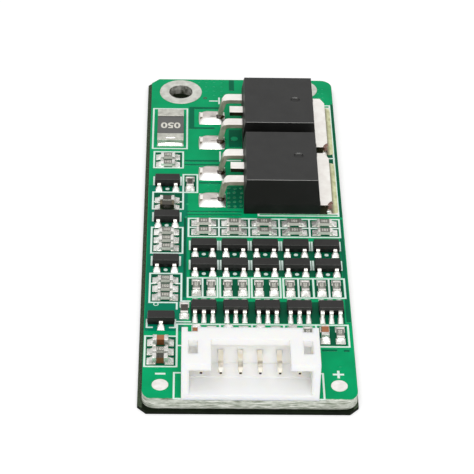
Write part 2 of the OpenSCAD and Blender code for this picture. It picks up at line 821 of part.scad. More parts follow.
// A square pin with a tapered tip, which turns down through the board
module header_pin() {
    s = pin_side / 2;
    y0 = pin_setback;
    y1 = pin_setback + pin_taper;
    y2 = pin_turn_y + past;
    low = -board_t - past;
    intersection() {
        bent_strip([[y0, pin_h], [pin_turn_y, pin_h], [pin_turn_y, -board_t]],
                   pin_bend, 4, pin_side, pin_side);
        linear_extrude(2 * header_h, center = true)
            polygon([[-s / 2, y0], [s / 2, y0], [s, y1], [s, y2], [-s, y2], [-s, y1]]);
        rotate([90, 0, 90]) linear_extrude(pin_side + past, center = true)
            polygon([[y0, pin_h - s / 2], [y1, pin_h - s], [pin_turn_y - past, low], [y2, low],
                     [y2, header_h], [pin_turn_y - past, header_h], [y1, pin_h + s], [y0, pin_h + s / 2]]);
    }
}

module header_pins() {
    color(tin) at_header() for (x = pin_xs) translate([x, 0, 0]) header_pin();
}

circuit_board();
insulating_sheet();
power_ring_lands();
battery_lands();
mosfet_lands();
chip_lands();
seated(mosfet_x, rear_mosfet_y) mosfet_body();  // rear_mosfet_body
seated(mosfet_x, rear_mosfet_y) mosfet_drain();  // rear_mosfet_drain
seated(mosfet_x, rear_mosfet_y + mosfet_pitch) mosfet_lead();  // rear_mosfet_gate_lead
seated(mosfet_x, rear_mosfet_y - mosfet_pitch) mosfet_lead();  // rear_mosfet_source_lead
seated(mosfet_x, front_mosfet_y) mosfet_body();  // front_mosfet_body
seated(mosfet_x, front_mosfet_y) mosfet_drain();  // front_mosfet_drain
seated(mosfet_x, front_mosfet_y + mosfet_pitch) mosfet_lead();  // front_mosfet_gate_lead
seated(mosfet_x, front_mosfet_y - mosfet_pitch) mosfet_lead();  // front_mosfet_source_lead
shunt_body();
shunt_terminals();
header_housing();
header_pins();
monitor_body(0);  // monitor_1
monitor_body(1);  // monitor_2
monitor_body(2);  // monitor_3
monitor_body(3);  // monitor_4
monitor_body(4);  // monitor_5
monitor_leads(0);  // monitor_leads_1
monitor_leads(1);  // monitor_leads_2
monitor_leads(2);  // monitor_leads_3
monitor_leads(3);  // monitor_leads_4
monitor_leads(4);  // monitor_leads_5
transistor_body(cell_x(0), upper_y);  // upper_transistor_1
transistor_body(cell_x(1), upper_y);  // upper_transistor_2
transistor_body(cell_x(2), upper_y);  // upper_transistor_3
transistor_body(cell_x(3), upper_y);  // upper_transistor_4
transistor_body(cell_x(4), upper_y);  // upper_transistor_5
for (i = cells) seated(cell_x(i), upper_y) transistor_leads();  // upper_transistor_leads
transistor_body(cell_x(0), lower_y);  // lower_transistor_1
transistor_body(cell_x(1), lower_y);  // lower_transistor_2
transistor_body(cell_x(2), lower_y);  // lower_transistor_3
transistor_body(cell_x(3), lower_y);  // lower_transistor_4
transistor_body(cell_x(4), lower_y);  // lower_transistor_5
for (i = cells) seated(cell_x(i), lower_y) transistor_leads();  // lower_transistor_leads
transistor_body(front_column_x, control_1_y);  // control_transistor_1
transistor_body(column_x, control_2_y);  // control_transistor_2
transistor_body(column_x, control_3_y);  // control_transistor_3
transistor_body(column_x, control_4_y);  // control_transistor_4
control_transistor_leads();
at_bleed_resistors() resistor_body();  // bleed_resistors
at_bleed_resistors() resistor_ends();  // bleed_resistor_terminals
at_gate_resistors() resistor_body();  // gate_resistors
at_gate_resistors() resistor_ends();  // gate_resistor_terminals
at_control_resistors() resistor_body();  // control_resistors
at_control_resistors() resistor_ends();  // control_resistor_terminals
at_filter_resistors() resistor_body();  // filter_resistors
at_filter_resistors() resistor_ends();  // filter_resistor_terminals
at_filter_capacitors() capacitor_body();  // filter_capacitors
at_filter_capacitors() capacitor_ends();  // filter_capacitor_terminals
at_delay_capacitors() capacitor_body();  // delay_capacitors
at_delay_capacitors() capacitor_ends();  // delay_capacitor_terminals
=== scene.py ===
# Looks of the battery management board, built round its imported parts.
import json
import math
import random

import bmesh
import bpy
from mathutils import Matrix, Vector


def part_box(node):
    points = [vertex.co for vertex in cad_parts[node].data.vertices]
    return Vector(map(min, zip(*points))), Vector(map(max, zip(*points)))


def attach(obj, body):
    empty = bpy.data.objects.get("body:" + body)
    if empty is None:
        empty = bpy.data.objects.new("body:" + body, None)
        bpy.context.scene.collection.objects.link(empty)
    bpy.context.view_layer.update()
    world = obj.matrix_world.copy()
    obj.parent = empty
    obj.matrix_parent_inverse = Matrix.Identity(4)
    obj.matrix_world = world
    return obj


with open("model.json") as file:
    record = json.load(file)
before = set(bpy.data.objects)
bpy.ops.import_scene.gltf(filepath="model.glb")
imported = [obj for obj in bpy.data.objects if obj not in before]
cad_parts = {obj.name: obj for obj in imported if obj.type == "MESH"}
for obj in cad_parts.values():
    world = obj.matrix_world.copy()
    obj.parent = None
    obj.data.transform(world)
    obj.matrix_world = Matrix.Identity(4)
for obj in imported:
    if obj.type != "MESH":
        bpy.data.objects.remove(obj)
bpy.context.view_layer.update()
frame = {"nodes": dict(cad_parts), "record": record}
print("stage: frame loaded,", len(frame["nodes"]), "nodes")

mm = 0.001
dice = random.Random(7)

# Board coordinates: millimetres from the front left corner of the board, z from its top face
boardLow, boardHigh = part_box("circuit_board")
boardCorner = Vector((boardLow.x, boardLow.y, boardHigh.z))
boardMatrix = Matrix.Translation(boardCorner) @ Matrix.Scale(mm, 4)
boardSize = (boardHigh - boardLow) / mm
landTop = (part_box("battery_lands")[1].z - boardHigh.z) / mm


def toBoard(point):
    return (Vector(point) - boardCorner) / mm


def boardBox(node):
    low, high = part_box(node)
    return toBoard(low), toBoard(high)


def middle(box):
    return (box[0] + box[1]) / 2


def islandBoxes(*nodes):
    # The box of each separate solid in these nodes, in board coordinates
    boxes = []
    for node in nodes:
        bm = bmesh.new()
        bm.from_mesh(frame["nodes"][node].data)
        bmesh.ops.remove_doubles(bm, verts=bm.verts, dist=0.0008 * mm)
        seen = set()
        for start in bm.verts:
            if start in seen:
                continue
            island, stack = [], [start]
            seen.add(start)
            while stack:
                vert = stack.pop()
                island.append(toBoard(vert.co))
                for edge in vert.link_edges:
                    other = edge.other_vert(vert)
                    if other not in seen:
                        seen.add(other)
                        stack.append(other)
            low = Vector([min(p[k] for p in island) for k in range(3)])
            high = Vector([max(p[k] for p in island) for k in range(3)])
            boxes.append((low, high))
        bm.free()
    return boxes


# ---- node helpers ----


def addNode(tree, kind, inputs=None, **settings):
    node = tree.nodes.new(kind)
    for name, value in settings.items():
        setattr(node, name, value)
    for name, value in (inputs or {}).items():
        if isinstance(value, bpy.types.NodeSocket):
            tree.links.new(value, node.inputs[name])
        else:
            node.inputs[name].default_value = value
    return node


def mathNode(tree, operation, a, b):
    return addNode(tree, "ShaderNodeMath", {0: a, 1: b}, operation=operation).outputs[0]


def times(tree, a, b):
    return mathNode(tree, "MULTIPLY", a, b)


def mixColour(tree, factor, a, b):
    # From colour a at 0 to colour b at 1. Sockets 6 and 7 take the colours, 2 gives the mix
    a, b = ((*colour, 1) if isinstance(colour, tuple) else colour for colour in (a, b))
    return addNode(tree, "ShaderNodeMix", {0: factor, 6: a, 7: b}, data_type="RGBA").outputs[2]


def ramp(tree, value, low, high):
    # Maps low..high to 0..1 and stops there
    node = addNode(tree, "ShaderNodeMapRange", {"Value": value, "From Min": low, "From Max": high})
    return node.outputs["Result"]


def objectAxis(tree, axis):
    place = addNode(tree, "ShaderNodeTexCoord").outputs["Object"]
    return addNode(tree, "ShaderNodeSeparateXYZ", {"Vector": place}).outputs[axis]


def newGroup(name, inputs, *outputs):
    # Vector sockets for values of three parts and for outputs named Normal, numbers for the rest
    tree = bpy.data.node_groups.new(name, "ShaderNodeTree")
    for label, value in inputs.items():
        kind = "NodeSocketVector" if isinstance(value, tuple) else "NodeSocketFloat"
        tree.interface.new_socket(name=label, in_out="INPUT", socket_type=kind).default_value = value
    for label in outputs:
        kind = "NodeSocketVector" if label == "Normal" else "NodeSocketFloat"
        tree.interface.new_socket(name=label, in_out="OUTPUT", socket_type=kind)
    return tree, tree.nodes.new("NodeGroupInput").outputs, tree.nodes.new("NodeGroupOutput").inputs


def useGroup(tree, group, **inputs):
    return addNode(tree, "ShaderNodeGroup", inputs, node_tree=group).outputs


def newMaterial(name, fine, slow, **settings):
    # Every material has fine grain and slow blotches
    material = bpy.data.materials.new(name)
    material.use_nodes = True
    tree = material.node_tree
    skin = tree.nodes["Principled BSDF"].inputs
    for label, value in settings.items():
        skin[label.replace("_", " ")].default_value = value
    return material, tree, skin, useGroup(tree, grainGroup, Scale=fine, Slow=slow)


def join(tree, source, target):
    tree.links.new(source, target)


# ---- shared effects ----


def makeGrain():
    # Fine grain and slow blotches, both 0 to 1
    tree, given, result = newGroup("fineGrain", {"Scale": 9000.0, "Slow": 400.0}, "Grain", "Blotch")
    place = addNode(tree, "ShaderNodeTexCoord").outputs["Object"]
    fine = addNode(tree, "ShaderNodeTexNoise", {"Vector": place, "Scale": given["Scale"], "Detail": 3.0})
    slow = addNode(tree, "ShaderNodeTexNoise", {"Vector": place, "Scale": given["Slow"], "Detail": 2.0})
    join(tree, ramp(tree, fine.outputs[0], 0.3, 0.7), result["Grain"])
    join(tree, ramp(tree, slow.outputs[0], 0.3, 0.7), result["Blotch"])
    return tree


def makeSoftEdge():
    # Rounded edges for light, and a mask of where they are
    tree, given, result = newGroup("softEdge", {"Radius": 0.0001}, "Normal", "Edge", "FrontHighlightEdge")
    bevel = addNode(tree, "ShaderNodeBevel", {"Radius": given["Radius"]}, samples=6)
    flat = addNode(tree, "ShaderNodeNewGeometry").outputs["Normal"]
    join(tree, bevel.outputs[0], result["Normal"])
    dot = addNode(tree, "ShaderNodeVectorMath", {0: bevel.outputs[0], 1: flat}, operation="DOT_PRODUCT")
    join(tree, ramp(tree, dot.outputs["Value"], 0.995, 0.75), result["Edge"])
    # Painted highlight: a mask of the edge between the top and the front, which is made paler as if it
    # caught the light
    slant = (0, -0.7071, 0.7071)
    frontGlint = addNode(tree, "ShaderNodeVectorMath", {0: bevel.outputs[0], 1: slant}, operation="DOT_PRODUCT")
    join(tree, ramp(tree, frontGlint.outputs["Value"], 0.80, 0.93), result["FrontHighlightEdge"])
    return tree


def makeRelief():
    # A bump over a given normal, with its depth in metres
    inputs = {"Height": 0.5, "Depth": 0.00001, "Normal": (0, 0, 0)}
    tree, given, result = newGroup("finishRelief", inputs, "Normal")
    wanted = {"Height": given["Height"], "Distance": given["Depth"], "Normal": given["Normal"]}
    bump = addNode(tree, "ShaderNodeBump", {"Strength": 1.0, **wanted})
    join(tree, bump.outputs[0], result["Normal"])
    return tree


def makeFacing():
    # 1 on faces that look up, 0 on upright ones, and 1 on faces that look to the front
    tree, given, result = newGroup("facing", {}, "Up", "Front")
    flat = addNode(tree, "ShaderNodeNewGeometry").outputs["Normal"]
    parts = addNode(tree, "ShaderNodeSeparateXYZ", {"Vector": flat})
    join(tree, ramp(tree, parts.outputs["Z"], 0.4, 0.6), result["Up"])
    join(tree, ramp(tree, parts.outputs["Y"], -0.5, -0.8), result["Front"])
    return tree


def makeWeave():
    # Glass cloth seen through resin: two crossed sets of threads
    tree, given, result = newGroup("glassCloth", {"Scale": 1400.0}, "Cloth")
    place = addNode(tree, "ShaderNodeTexCoord").outputs["Object"]
    wave = {"Vector": place, "Scale": given["Scale"], "Distortion": 0.6, "Detail": 1.0}
    across, along = (addNode(tree, "ShaderNodeTexWave", wave, bands_direction=way) for way in "XY")
    join(tree, times(tree, across.outputs["Fac"], along.outputs["Fac"]), result["Cloth"])
    return tree


def makeStreaks():
    # Long streaks along the board's faces, such as cut fibre ends or drawn metal
    tree, given, result = newGroup("streaks", {"Scale": (300, 300, 6000)}, "Streak")
    place = addNode(tree, "ShaderNodeTexCoord").outputs["Object"]
    scaled = addNode(tree, "ShaderNodeVectorMath", {0: place, 1: given["Scale"]}, operation="MULTIPLY")
    look = {"Vector": scaled.outputs[0], "Scale": 1.0, "Detail": 4.0, "Roughness": 0.65}
    noise = addNode(tree, "ShaderNodeTexNoise", look)
    join(tree, ramp(tree, noise.outputs[0], 0.32, 0.68), result["Streak"])
    return tree


grainGroup = makeGrain()
edgeGroup = makeSoftEdge()
reliefGroup = makeRelief()
facingGroup = makeFacing()
clothGroup = makeWeave()
streakGroup = makeStreaks()


# ---- materials ----


def paint(tree, skin, factor, a, b):
    join(tree, mixColour(tree, factor, a, b), skin["Base Color"])


def giveRelief(tree, skin, height, depth, radius=None):
    # Bumps of a depth, and rounded edges of a radius, both in millimetres
    bumps = {"Height": height, "Depth": depth * mm}
    soft = None
    if radius:
        soft = useGroup(tree, edgeGroup, Radius=radius * mm)
        bumps["Normal"] = soft["Normal"]
    join(tree, useGroup(tree, reliefGroup, **bumps)["Normal"], skin["Normal"])
    return soft


def giveRoughness(tree, skin, blotch, spread, least):
    rough = times(tree, blotch, spread)
    join(tree, mathNode(tree, "ADD", rough, least), skin["Roughness"])


boardFinish = {
    "edge": (0.97, 0.99, 0.91),
    "edgeFibre": (0.13, 0.17, 0.10),
    "cloth": 0.16,
    "frontStrip": 0.2,
    "raggedness": 0.1,
    "edgeRoughness": 0.75,
    "maskSmoother": 0.43,
}


def makeMask(name, tint, deep):
    material, tree, skin, grain = newMaterial(name, 2600.0, 330.0, Roughness=0.40, Specular_IOR_Level=0.05)
    cloth = useGroup(tree, clothGroup, Scale=1500.0)
    facing = useGroup(tree, facingGroup)
    fibres = useGroup(tree, streakGroup, Scale=(650, 1300, 4600))
    green = mixColour(tree, grain["Blotch"], deep, tint)
    threads = times(tree, cloth["Cloth"], boardFinish["cloth"])
    green = mixColour(tree, threads, green, deep)
    edge = mixColour(tree, fibres["Streak"], boardFinish["edgeFibre"], boardFinish["edge"])
    # The mask stops a little inside the front edge, on a ragged line
    ragged = times(tree, grain["Grain"], boardFinish["raggedness"] * mm)
    line = mathNode(tree, "SUBTRACT", objectAxis(tree, "Y"), ragged)
    start = boardLow.y + boardFinish["frontStrip"] * mm
    masked = ramp(tree, line, start - 0.08 * mm, start + 0.02 * mm)
    cover = times(tree, facing["Up"], masked)
    paint(tree, skin, cover, edge, green)
    smoother = times(tree, cover, boardFinish["maskSmoother"])
    join(tree, mathNode(tree, "SUBTRACT", boardFinish["edgeRoughness"], smoother), skin["Roughness"])
    giveRelief(tree, skin, grain["Grain"], 0.003, 0.06)
    return material


# deep and dark are painted shade, the near black of the sheet's edges and hidden faces; olive is the
# sheet's own colour, shown on its upper face beside the board
sheetFinish = {
    "deep": (0.001, 0.0026, 0.0008),
    "dark": (0.0032, 0.0068, 0.0022),
    "fibre": (0.012, 0.020, 0.007),
    "fibreShare": 0.35,
    "oliveDeep": (0.030, 0.045, 0.024),
    "olive": (0.10, 0.13, 0.085),
}


def makeSheet():
    surface = {"Roughness": 0.65, "Specular_IOR_Level": 0.08}
    material, tree, skin, grain = newMaterial("varnishedPaper", 5200.0, 500.0, **surface)
    fibres = useGroup(tree, streakGroup, Scale=(900, 2600, 9000))
    facing = useGroup(tree, facingGroup)
    dark = mixColour(tree, grain["Blotch"], sheetFinish["deep"], sheetFinish["dark"])
    # Painted shade: the sheet is near black on its edges and hidden faces; only its upper face beside the
    # board has its own olive colour
    outwards = mathNode(tree, "ABSOLUTE", objectAxis(tree, "X"), 0.0)
    side = abs(boardLow.x)
    beside = ramp(tree, outwards, side - 0.1 * mm, side + 0.05 * mm)
    beside = times(tree, beside, facing["Up"])
    olive = mixColour(tree, grain["Grain"], sheetFinish["oliveDeep"], sheetFinish["olive"])
    dark = mixColour(tree, beside, dark, olive)
    pale = times(tree, fibres["Streak"], sheetFinish["fibreShare"])
    paint(tree, skin, pale, dark, sheetFinish["fibre"])
    giveRelief(tree, skin, fibres["Streak"], 0.015, 0.08)
    return material


def makeTinned(name, pale, dull, roughness, wave, depth, radius, metal=0.88):
    # Hot tinned metal: bright, slightly wavy, duller and rougher in blotches
    material, tree, skin, grain = newMaterial(name, wave, 1300.0, Metallic=metal)
    paint(tree, skin, grain["Blotch"], dull, pale)
    giveRoughness(tree, skin, grain["Blotch"], -0.12, roughness + 0.06)
    giveRelief(tree, skin, grain["Grain"], depth, radius)
    return material


# Worn paler edges, and the colour of the painted highlight on the front top edge
mouldWearAndHighlight = {"speckle": 0.25, "edge": (0.10, 0.10, 0.095), "edgeShare": 0.2, "frontHighlight": (0.55, 0.55, 0.53)}


def makeMould(name, top, side, roughness, radius, frontGlint):
    # Moulding compound: frosted grain, a little paler along the edges from wear, with a painted highlight
    # on the front top edge and painted shade on the sides
    material, tree, skin, grain = newMaterial(name, 16000.0, 700.0, Specular_IOR_Level=0.32)
    facing = useGroup(tree, facingGroup)
    soft = giveRelief(tree, skin, grain["Grain"], 0.006, radius)
    # Painted shade: the upright faces take the much darker side colour, as shaded faces of the same
    # compound
    base = mixColour(tree, facing["Up"], side, top)
    base = mixColour(tree, times(tree, grain["Grain"], mouldWearAndHighlight["speckle"]), base, side)
    worn = times(tree, soft["Edge"], mouldWearAndHighlight["edgeShare"])
    base = mixColour(tree, worn, base, mouldWearAndHighlight["edge"])
    # Painted highlight along the front top edge
    frontHighlight = times(tree, soft["FrontHighlightEdge"], frontGlint)
    paint(tree, skin, frontHighlight, base, mouldWearAndHighlight["frontHighlight"])
    giveRoughness(tree, skin, grain["Blotch"], 0.08, roughness)
    return material


def makeChipCoat(name, top, side, roughness):
    # Glaze on the top face, with faint speckles, and bare ceramic on the sides; the capacitors are one
    # ceramic all round, so their darker sides are painted shade
    material, tree, skin, grain = newMaterial(name, 12000.0, 1500.0, Specular_IOR_Level=0.5)
    facing = useGroup(tree, facingGroup)
    speckled = mixColour(tree, times(tree, grain["Grain"], 0.3), top, side)
    glaze = mixColour(tree, 0.12, top, speckled)
    paint(tree, skin, facing["Up"], side, glaze)
    giveRoughness(tree, skin, grain["Blotch"], 0.15, roughness)
    giveRelief(tree, skin, grain["Grain"], 0.003, 0.04)
    return material


def makeNylon():
    material, tree, skin, grain = newMaterial(
        "ivoryNylon",
        7000.0,
        260.0,
        Roughness=0.36,
        Specular_IOR_Level=0.45,
        Subsurface_Weight=0.7,
        Subsurface_Radius=(1.0, 0.85, 0.62),
        Subsurface_Scale=0.0009,
    )
    paint(tree, skin, grain["Blotch"], (0.982, 0.974, 0.945), (0.99, 0.986, 0.965))
    giveRelief(tree, skin, grain["Grain"], 0.002, 0.12)
    return material


pinFinish = {
    "dull": (0.90, 0.83, 0.70),
    "bright": (0.97, 0.95, 0.88),
    # A dark band of painted shade and reflection along the pins
    "tarnish": (0.30, 0.26, 0.19),
    "shadeBandFrom": (0.55, 0.70),  # behind the tips
    "shadeBandTo": (1.75, 1.45),
    "cutEnd": (0.045, 0.030, 0.018),
}


def makePinMetal():
    # Tinned pin whose front-facing end faces are dark
    material, tree, skin, grain = newMaterial("pinMetal", 1300.0, 900.0, Metallic=0.7, Roughness=0.34)
    facing = useGroup(tree, facingGroup)
    pale = mixColour(tree, grain["Blotch"], pinFinish["dull"], pinFinish["bright"])
    # Painted shade and reflection: a dark band behind the tips, patchy so that it differs on each pin
    y = objectAxis(tree, "Y")
    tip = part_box("header_pins")[0].y
    starts, ends = (
        ramp(tree, y, *(tip + reach * mm for reach in pinFinish[side]))
        for side in ("shadeBandFrom", "shadeBandTo")
    )
    patchy = times(tree, grain["Grain"], 0.8)
    band = times(tree, times(tree, starts, ends), patchy)
    pale = mixColour(tree, band, pale, pinFinish["tarnish"])
    paint(tree, skin, facing["Front"], pale, pinFinish["cutEnd"])
    giveRelief(tree, skin, grain["Grain"], 0.003, 0.05)
    return material


def makeInk(name, colour):
    # Print, a little thinner in its grain
    material, tree, skin, grain = newMaterial(name, 14000.0, 2200.0, Roughness=0.6, Specular_IOR_Level=0.3)
    thin = tuple(0.82 * part for part in colour)
    paint(tree, skin, grain["Grain"], thin, colour)
    giveRelief(tree, skin, grain["Grain"], 0.004)
    return material


stamping = {"dull": (0.86, 0.82, 0.77), "bright": (0.98, 0.96, 0.91), "metal": 0.88, "bareOrShadedLess": 0.5}


def makeStamped(name, darkerFaces, paleSide, darkSide):
    # Tinned stamping: bright on top, its upright faces dull: bare copper on the tab's cut front face, and
    # on the outer leads partly bare cut ends, partly painted shade
    material, tree, skin, grain = newMaterial(name, 3200.0, 900.0)
    facing = useGroup(tree, facingGroup)
    side = facing["Front"] if darkerFaces == "front" else mathNode(tree, "SUBTRACT", 1.0, facing["Up"])
    tin = mixColour(tree, grain["Blotch"], stamping["dull"], stamping["bright"])
    bareOrShaded = mixColour(tree, grain["Blotch"], darkSide, paleSide)
    paint(tree, skin, side, tin, bareOrShaded)
    less = times(tree, side, stamping["bareOrShadedLess"])
    join(tree, mathNode(tree, "SUBTRACT", stamping["metal"], less), skin["Metallic"])
    giveRoughness(tree, skin, grain["Blotch"], 0.1, 0.28)
    giveRelief(tree, skin, grain["Grain"], 0.008, 0.10)
    return material


# Painted reflection on pooled solder: grey for the rear slopes, bright for the front slope
pooled = {
    "reflectionDark": (0.52, 0.48, 0.45),
    "reflectionPale": (0.70, 0.64, 0.60),
    "paintedGlint": (0.98, 0.98, 0.95),
    "roughness": 0.34,
    "smoother": 0.14,
}


def makePool():
    # Pooled solder: the slope to the front has a painted highlight and is smoother, the rest a pinkish grey
    # painted reflection
    material, tree, skin, grain = newMaterial("pooledSolder", 1500.0, 1300.0, Metallic=0.75)
    flat = addNode(tree, "ShaderNodeNewGeometry").outputs["Normal"]
    y = addNode(tree, "ShaderNodeSeparateXYZ", {"Vector": flat}).outputs["Y"]
    front = ramp(tree, y, -0.12, -0.40)
    grey = mixColour(tree, grain["Blotch"], pooled["reflectionDark"], pooled["reflectionPale"])
    paint(tree, skin, front, grey, pooled["paintedGlint"])
    smoother = times(tree, front, pooled["smoother"])
    join(tree, mathNode(tree, "SUBTRACT", pooled["roughness"], smoother), skin["Roughness"])
    giveRelief(tree, skin, grain["Grain"], 0.025)
    return material


def makeStain():
    # Solder under a skin of yellow-green flux, browner beside the tab
    material, tree, skin, grain = newMaterial("fluxedSolder", 2600.0, 1100.0, Metallic=0.35, Roughness=0.28)
    pale = mixColour(tree, grain["Blotch"], (0.44, 0.45, 0.22), (0.74, 0.76, 0.46))
    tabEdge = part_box("front_mosfet_drain")[1].x
    away = ramp(tree, objectAxis(tree, "X"), tabEdge + 0.10 * mm, tabEdge + 0.42 * mm)
    paint(tree, skin, away, (0.17, 0.15, 0.095), pale)
    giveRelief(tree, skin, grain["Grain"], 0.02)
    return material


def makeFlux():
    # Dried flux: glossy brown glass, redder and paler at the tabs
    surface = {"Roughness": 0.14, "Specular_IOR_Level": 0.6}
    material, tree, skin, grain = newMaterial("driedFlux", 3000.0, 1600.0, **surface)
    thick = mixColour(tree, grain["Blotch"], (0.010, 0.007, 0.003), (0.055, 0.030, 0.013))
    thin = mixColour(tree, grain["Blotch"], (0.12, 0.045, 0.030), (0.30, 0.15, 0.105))
    atTab = ramp(tree, objectAxis(tree, "X"), 6 * mm, 7 * mm)
    paint(tree, skin, atTab, thick, thin)
    giveRelief(tree, skin, grain["Grain"], 0.02)
    return material


# Name, pale and dull colour, roughness, size and depth of waves, edge radius, metal
tins = {
    "tinned_land": ("tinnedLand", (0.95, 0.93, 0.90), (0.78, 0.74, 0.70), 0.34, 2800.0, 0.010, 0.04),
    "ringTin": ("ringTin", (0.70, 0.71, 0.65), (0.50, 0.50, 0.45), 0.40, 3600.0, 0.014, 0.05),
    # On the bore wall the dull colour is near black: painted shade inside the hole, in blotches between the
    # bright tin
    "wallTin": ("wallTin", (0.98, 0.97, 0.90), (0.07, 0.08, 0.045), 0.18, 1500.0, 0.080, 0.03, 0.45),
    "tinned_lead": ("tinnedLead", (0.97, 0.94, 0.89), (0.82, 0.77, 0.71), 0.34, 3600.0, 0.006, 0.10, 0.6),
    "shuntTin": ("shuntTin", (0.66, 0.66, 0.59), (0.42, 0.42, 0.37), 0.36, 4200.0, 0.006, 0.10),
    "chip_terminal": ("chipTerminal", (0.95, 0.91, 0.87), (0.62, 0.59, 0.56), 0.30, 7000.0, 0.010, 0.05),
    "darkEnds": ("tarnishedTin", (0.20, 0.17, 0.11), (0.06, 0.05, 0.032), 0.30, 5000.0, 0.008, 0.05),
    "solder": ("solderMetal", (0.99, 0.98, 0.95), (0.46, 0.46, 0.42), 0.20, 3400.0, 0.045, 0.05, 0.55),
    "leadSolder": ("leadSolder", (0.98, 0.97, 0.94), (0.80, 0.79, 0.75), 0.24, 2600.0, 0.020, 0.05, 0.5),
}

# Name, colour of the top face and of the sides, roughness
chipCoats = {
    "shunt_coat": ("shuntCoat", (0.105, 0.105, 0.100), (0.11, 0.11, 0.10), 0.42),
    "resistor_glaze": ("resistorGlaze", (0.165, 0.170, 0.145), (0.72, 0.72, 0.65), 0.30),
    # The capacitors' sides are darker than their tops as painted shade
    "capacitor_clay": ("capacitorClay", (0.36, 0.125, 0.045), (0.15, 0.050, 0.012), 0.48),
    "capacitor_dark": ("capacitorDark", (0.035, 0.030, 0.018), (0.012, 0.010, 0.006), 0.22),
}

# Name, colour of the top face and of the sides (their darkness is painted shade), roughness, edge radius,
# strength of the painted highlight on the front edge
moulds = {
    "mosfet_mould": ("powerMould", (0.019, 0.019, 0.018), (0.003, 0.003, 0.0025), 0.46, 0.09, 0.8),
    "chip_mould": ("chipMould", (0.0125, 0.0118, 0.0105), (0.004, 0.004, 0.0035), 0.46, 0.06, 0.16),
}

# Name, pale and deep green
masks = {
    "solder_mask": ("solderMask", (0.0, 0.40, 0.150), (0.0, 0.32, 0.118)),
    "maskTrackAndShade": ("maskOverTrack", (0.0, 0.165, 0.078), (0.0, 0.13, 0.060)),
    "maskGapAndShade": ("maskOverLaminate", (0.0, 0.118, 0.053), (0.0, 0.088, 0.041)),
    "maskDim": ("maskOverPlane", (0.0, 0.240, 0.122), (0.0, 0.195, 0.105)),
    "maskBump": ("maskOverVia", (0.02, 0.46, 0.20), (0.01, 0.40, 0.17)),
}

materials = {
    "sheet": makeSheet(),
    "poolSolder": makePool(),
    "tab": makeStamped("drainTab", "front", (0.06, 0.035, 0.018), (0.010, 0.008, 0.004)),
    # The outer leads' upright faces are darker: bare at their cut ends, painted shade on the rest
    "powerLead": makeStamped("powerLead", "all", (0.52, 0.47, 0.39), (0.32, 0.28, 0.22)),
    "stain": makeStain(),
    "header_nylon": makeNylon(),
    "pin_metal": makePinMetal(),
    "ink": makeInk("printedInk", (0.84, 0.99, 0.92)),
    "codeInk": makeInk("codeInk", (0.80, 0.78, 0.70)),
    "flux": makeFlux(),
}
for make, kinds in zip((makeTinned, makeChipCoat, makeMould, makeMask), (tins, chipCoats, moulds, masks)):
    materials.update({slot: make(*values) for slot, values in kinds.items()})

# Finishes of some parts differ from the rest of their slot
powerSides = ("rear", "front")
outerLeads = ["%s_mosfet_%s_lead" % (side, kind) for side in powerSides for kind in ("gate", "source")]
drains = [side + "_mosfet_drain" for side in powerSides]
ownFinish = {
    "power_ring_lands": "ringTin",
    "delay_capacitor_terminals": "darkEnds",
    "shunt_terminals": "shuntTin",
    **{drain: "tab" for drain in drains},
    **{lead: "powerLead" for lead in outerLeads},
}

for subpart in frame["record"]["subparts"]:
    node = frame["nodes"][subpart["node"]]
    node.data.materials.clear()
    node.data.materials.append(materials[ownFinish.get(subpart["node"], subpart["material_slot"])])
print("stage: materials on the packed parts")


# ---- making pieces ----


def closePiece(name, bm, material, smooth=None):
    # Turns a mesh in board coordinates into a finished piece
    bmesh.ops.transform(bm, matrix=boardMatrix, verts=bm.verts)
    if smooth is not None:
        for face in bm.faces:
            face.smooth = True
        for edge in bm.edges:
            edge.smooth = edge.is_manifold and edge.calc_face_angle(0) < math.radians(smooth)
    mesh = bpy.data.meshes.new(name)
    bm.to_mesh(mesh)
    bm.free()
    mesh.materials.append(materials[material])
    piece = bpy.data.objects.new(name, mesh)
    bpy.context.scene.collection.objects.link(piece)
    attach(piece, "root")
    print("stage:", name, len(mesh.polygons), "faces")
    return piece


def placed(spot, size=(1, 1, 1), turn=0.0):
    # Scales, then turns about z, then moves
    return Matrix.Translation(spot) @ Matrix.Rotation(turn, 4, "Z") @ Matrix.Diagonal((*size, 1))


def faceOutwards(bm):
    bmesh.ops.recalc_face_normals(bm, faces=bm.faces)


def addBlock(bm, low, high):
    low, high = Vector(low), Vector(high)
    place = placed((low + high) / 2, high - low)
    return bmesh.ops.create_cube(bm, size=1, matrix=place)["verts"]


def addPatch(bm, x0, y0, x1, y1, high):
    addBlock(bm, (x0, y0, 0), (x1, y1, high))


def addBead(bm, spot, radius, size=(1, 1, 1)):
    bmesh.ops.create_icosphere(bm, subdivisions=2, radius=radius, matrix=placed(spot, size))


def addDisc(bm, x, y, radius, height, segments=20):
    bmesh.ops.create_cone(
        bm,
        cap_ends=True,
        segments=segments,
        radius1=radius,
        radius2=radius,
        depth=height,
        matrix=placed((x, y, height / 2)),
    )


def addRing(bm, centre, inner, outer, low, high, steps=32):
    # A washer or sleeve, spun from its cross-section
    x, y = centre[0], centre[1]
    corners = [(inner, low), (outer, low), (outer, high), (inner, high)]
    verts = [bm.verts.new((x + r, y, z)) for r, z in corners]
    face = bm.faces.new(verts)
    bmesh.ops.spin(
        bm,
        geom=[face] + list(face.edges) + verts,
        cent=(x, y, 0),
        axis=(0, 0, 1),
        angle=2 * math.pi,
        steps=steps,
        use_merge=True,
        use_duplicate=False,
    )


def stamp(bm, template, matrix):
    # Adds a copy of a template mesh
    first = len(bm.verts)
    bm.from_mesh(template)
    bm.verts.ensure_lookup_table()
    bmesh.ops.transform(bm, matrix=matrix, verts=bm.verts[first:])


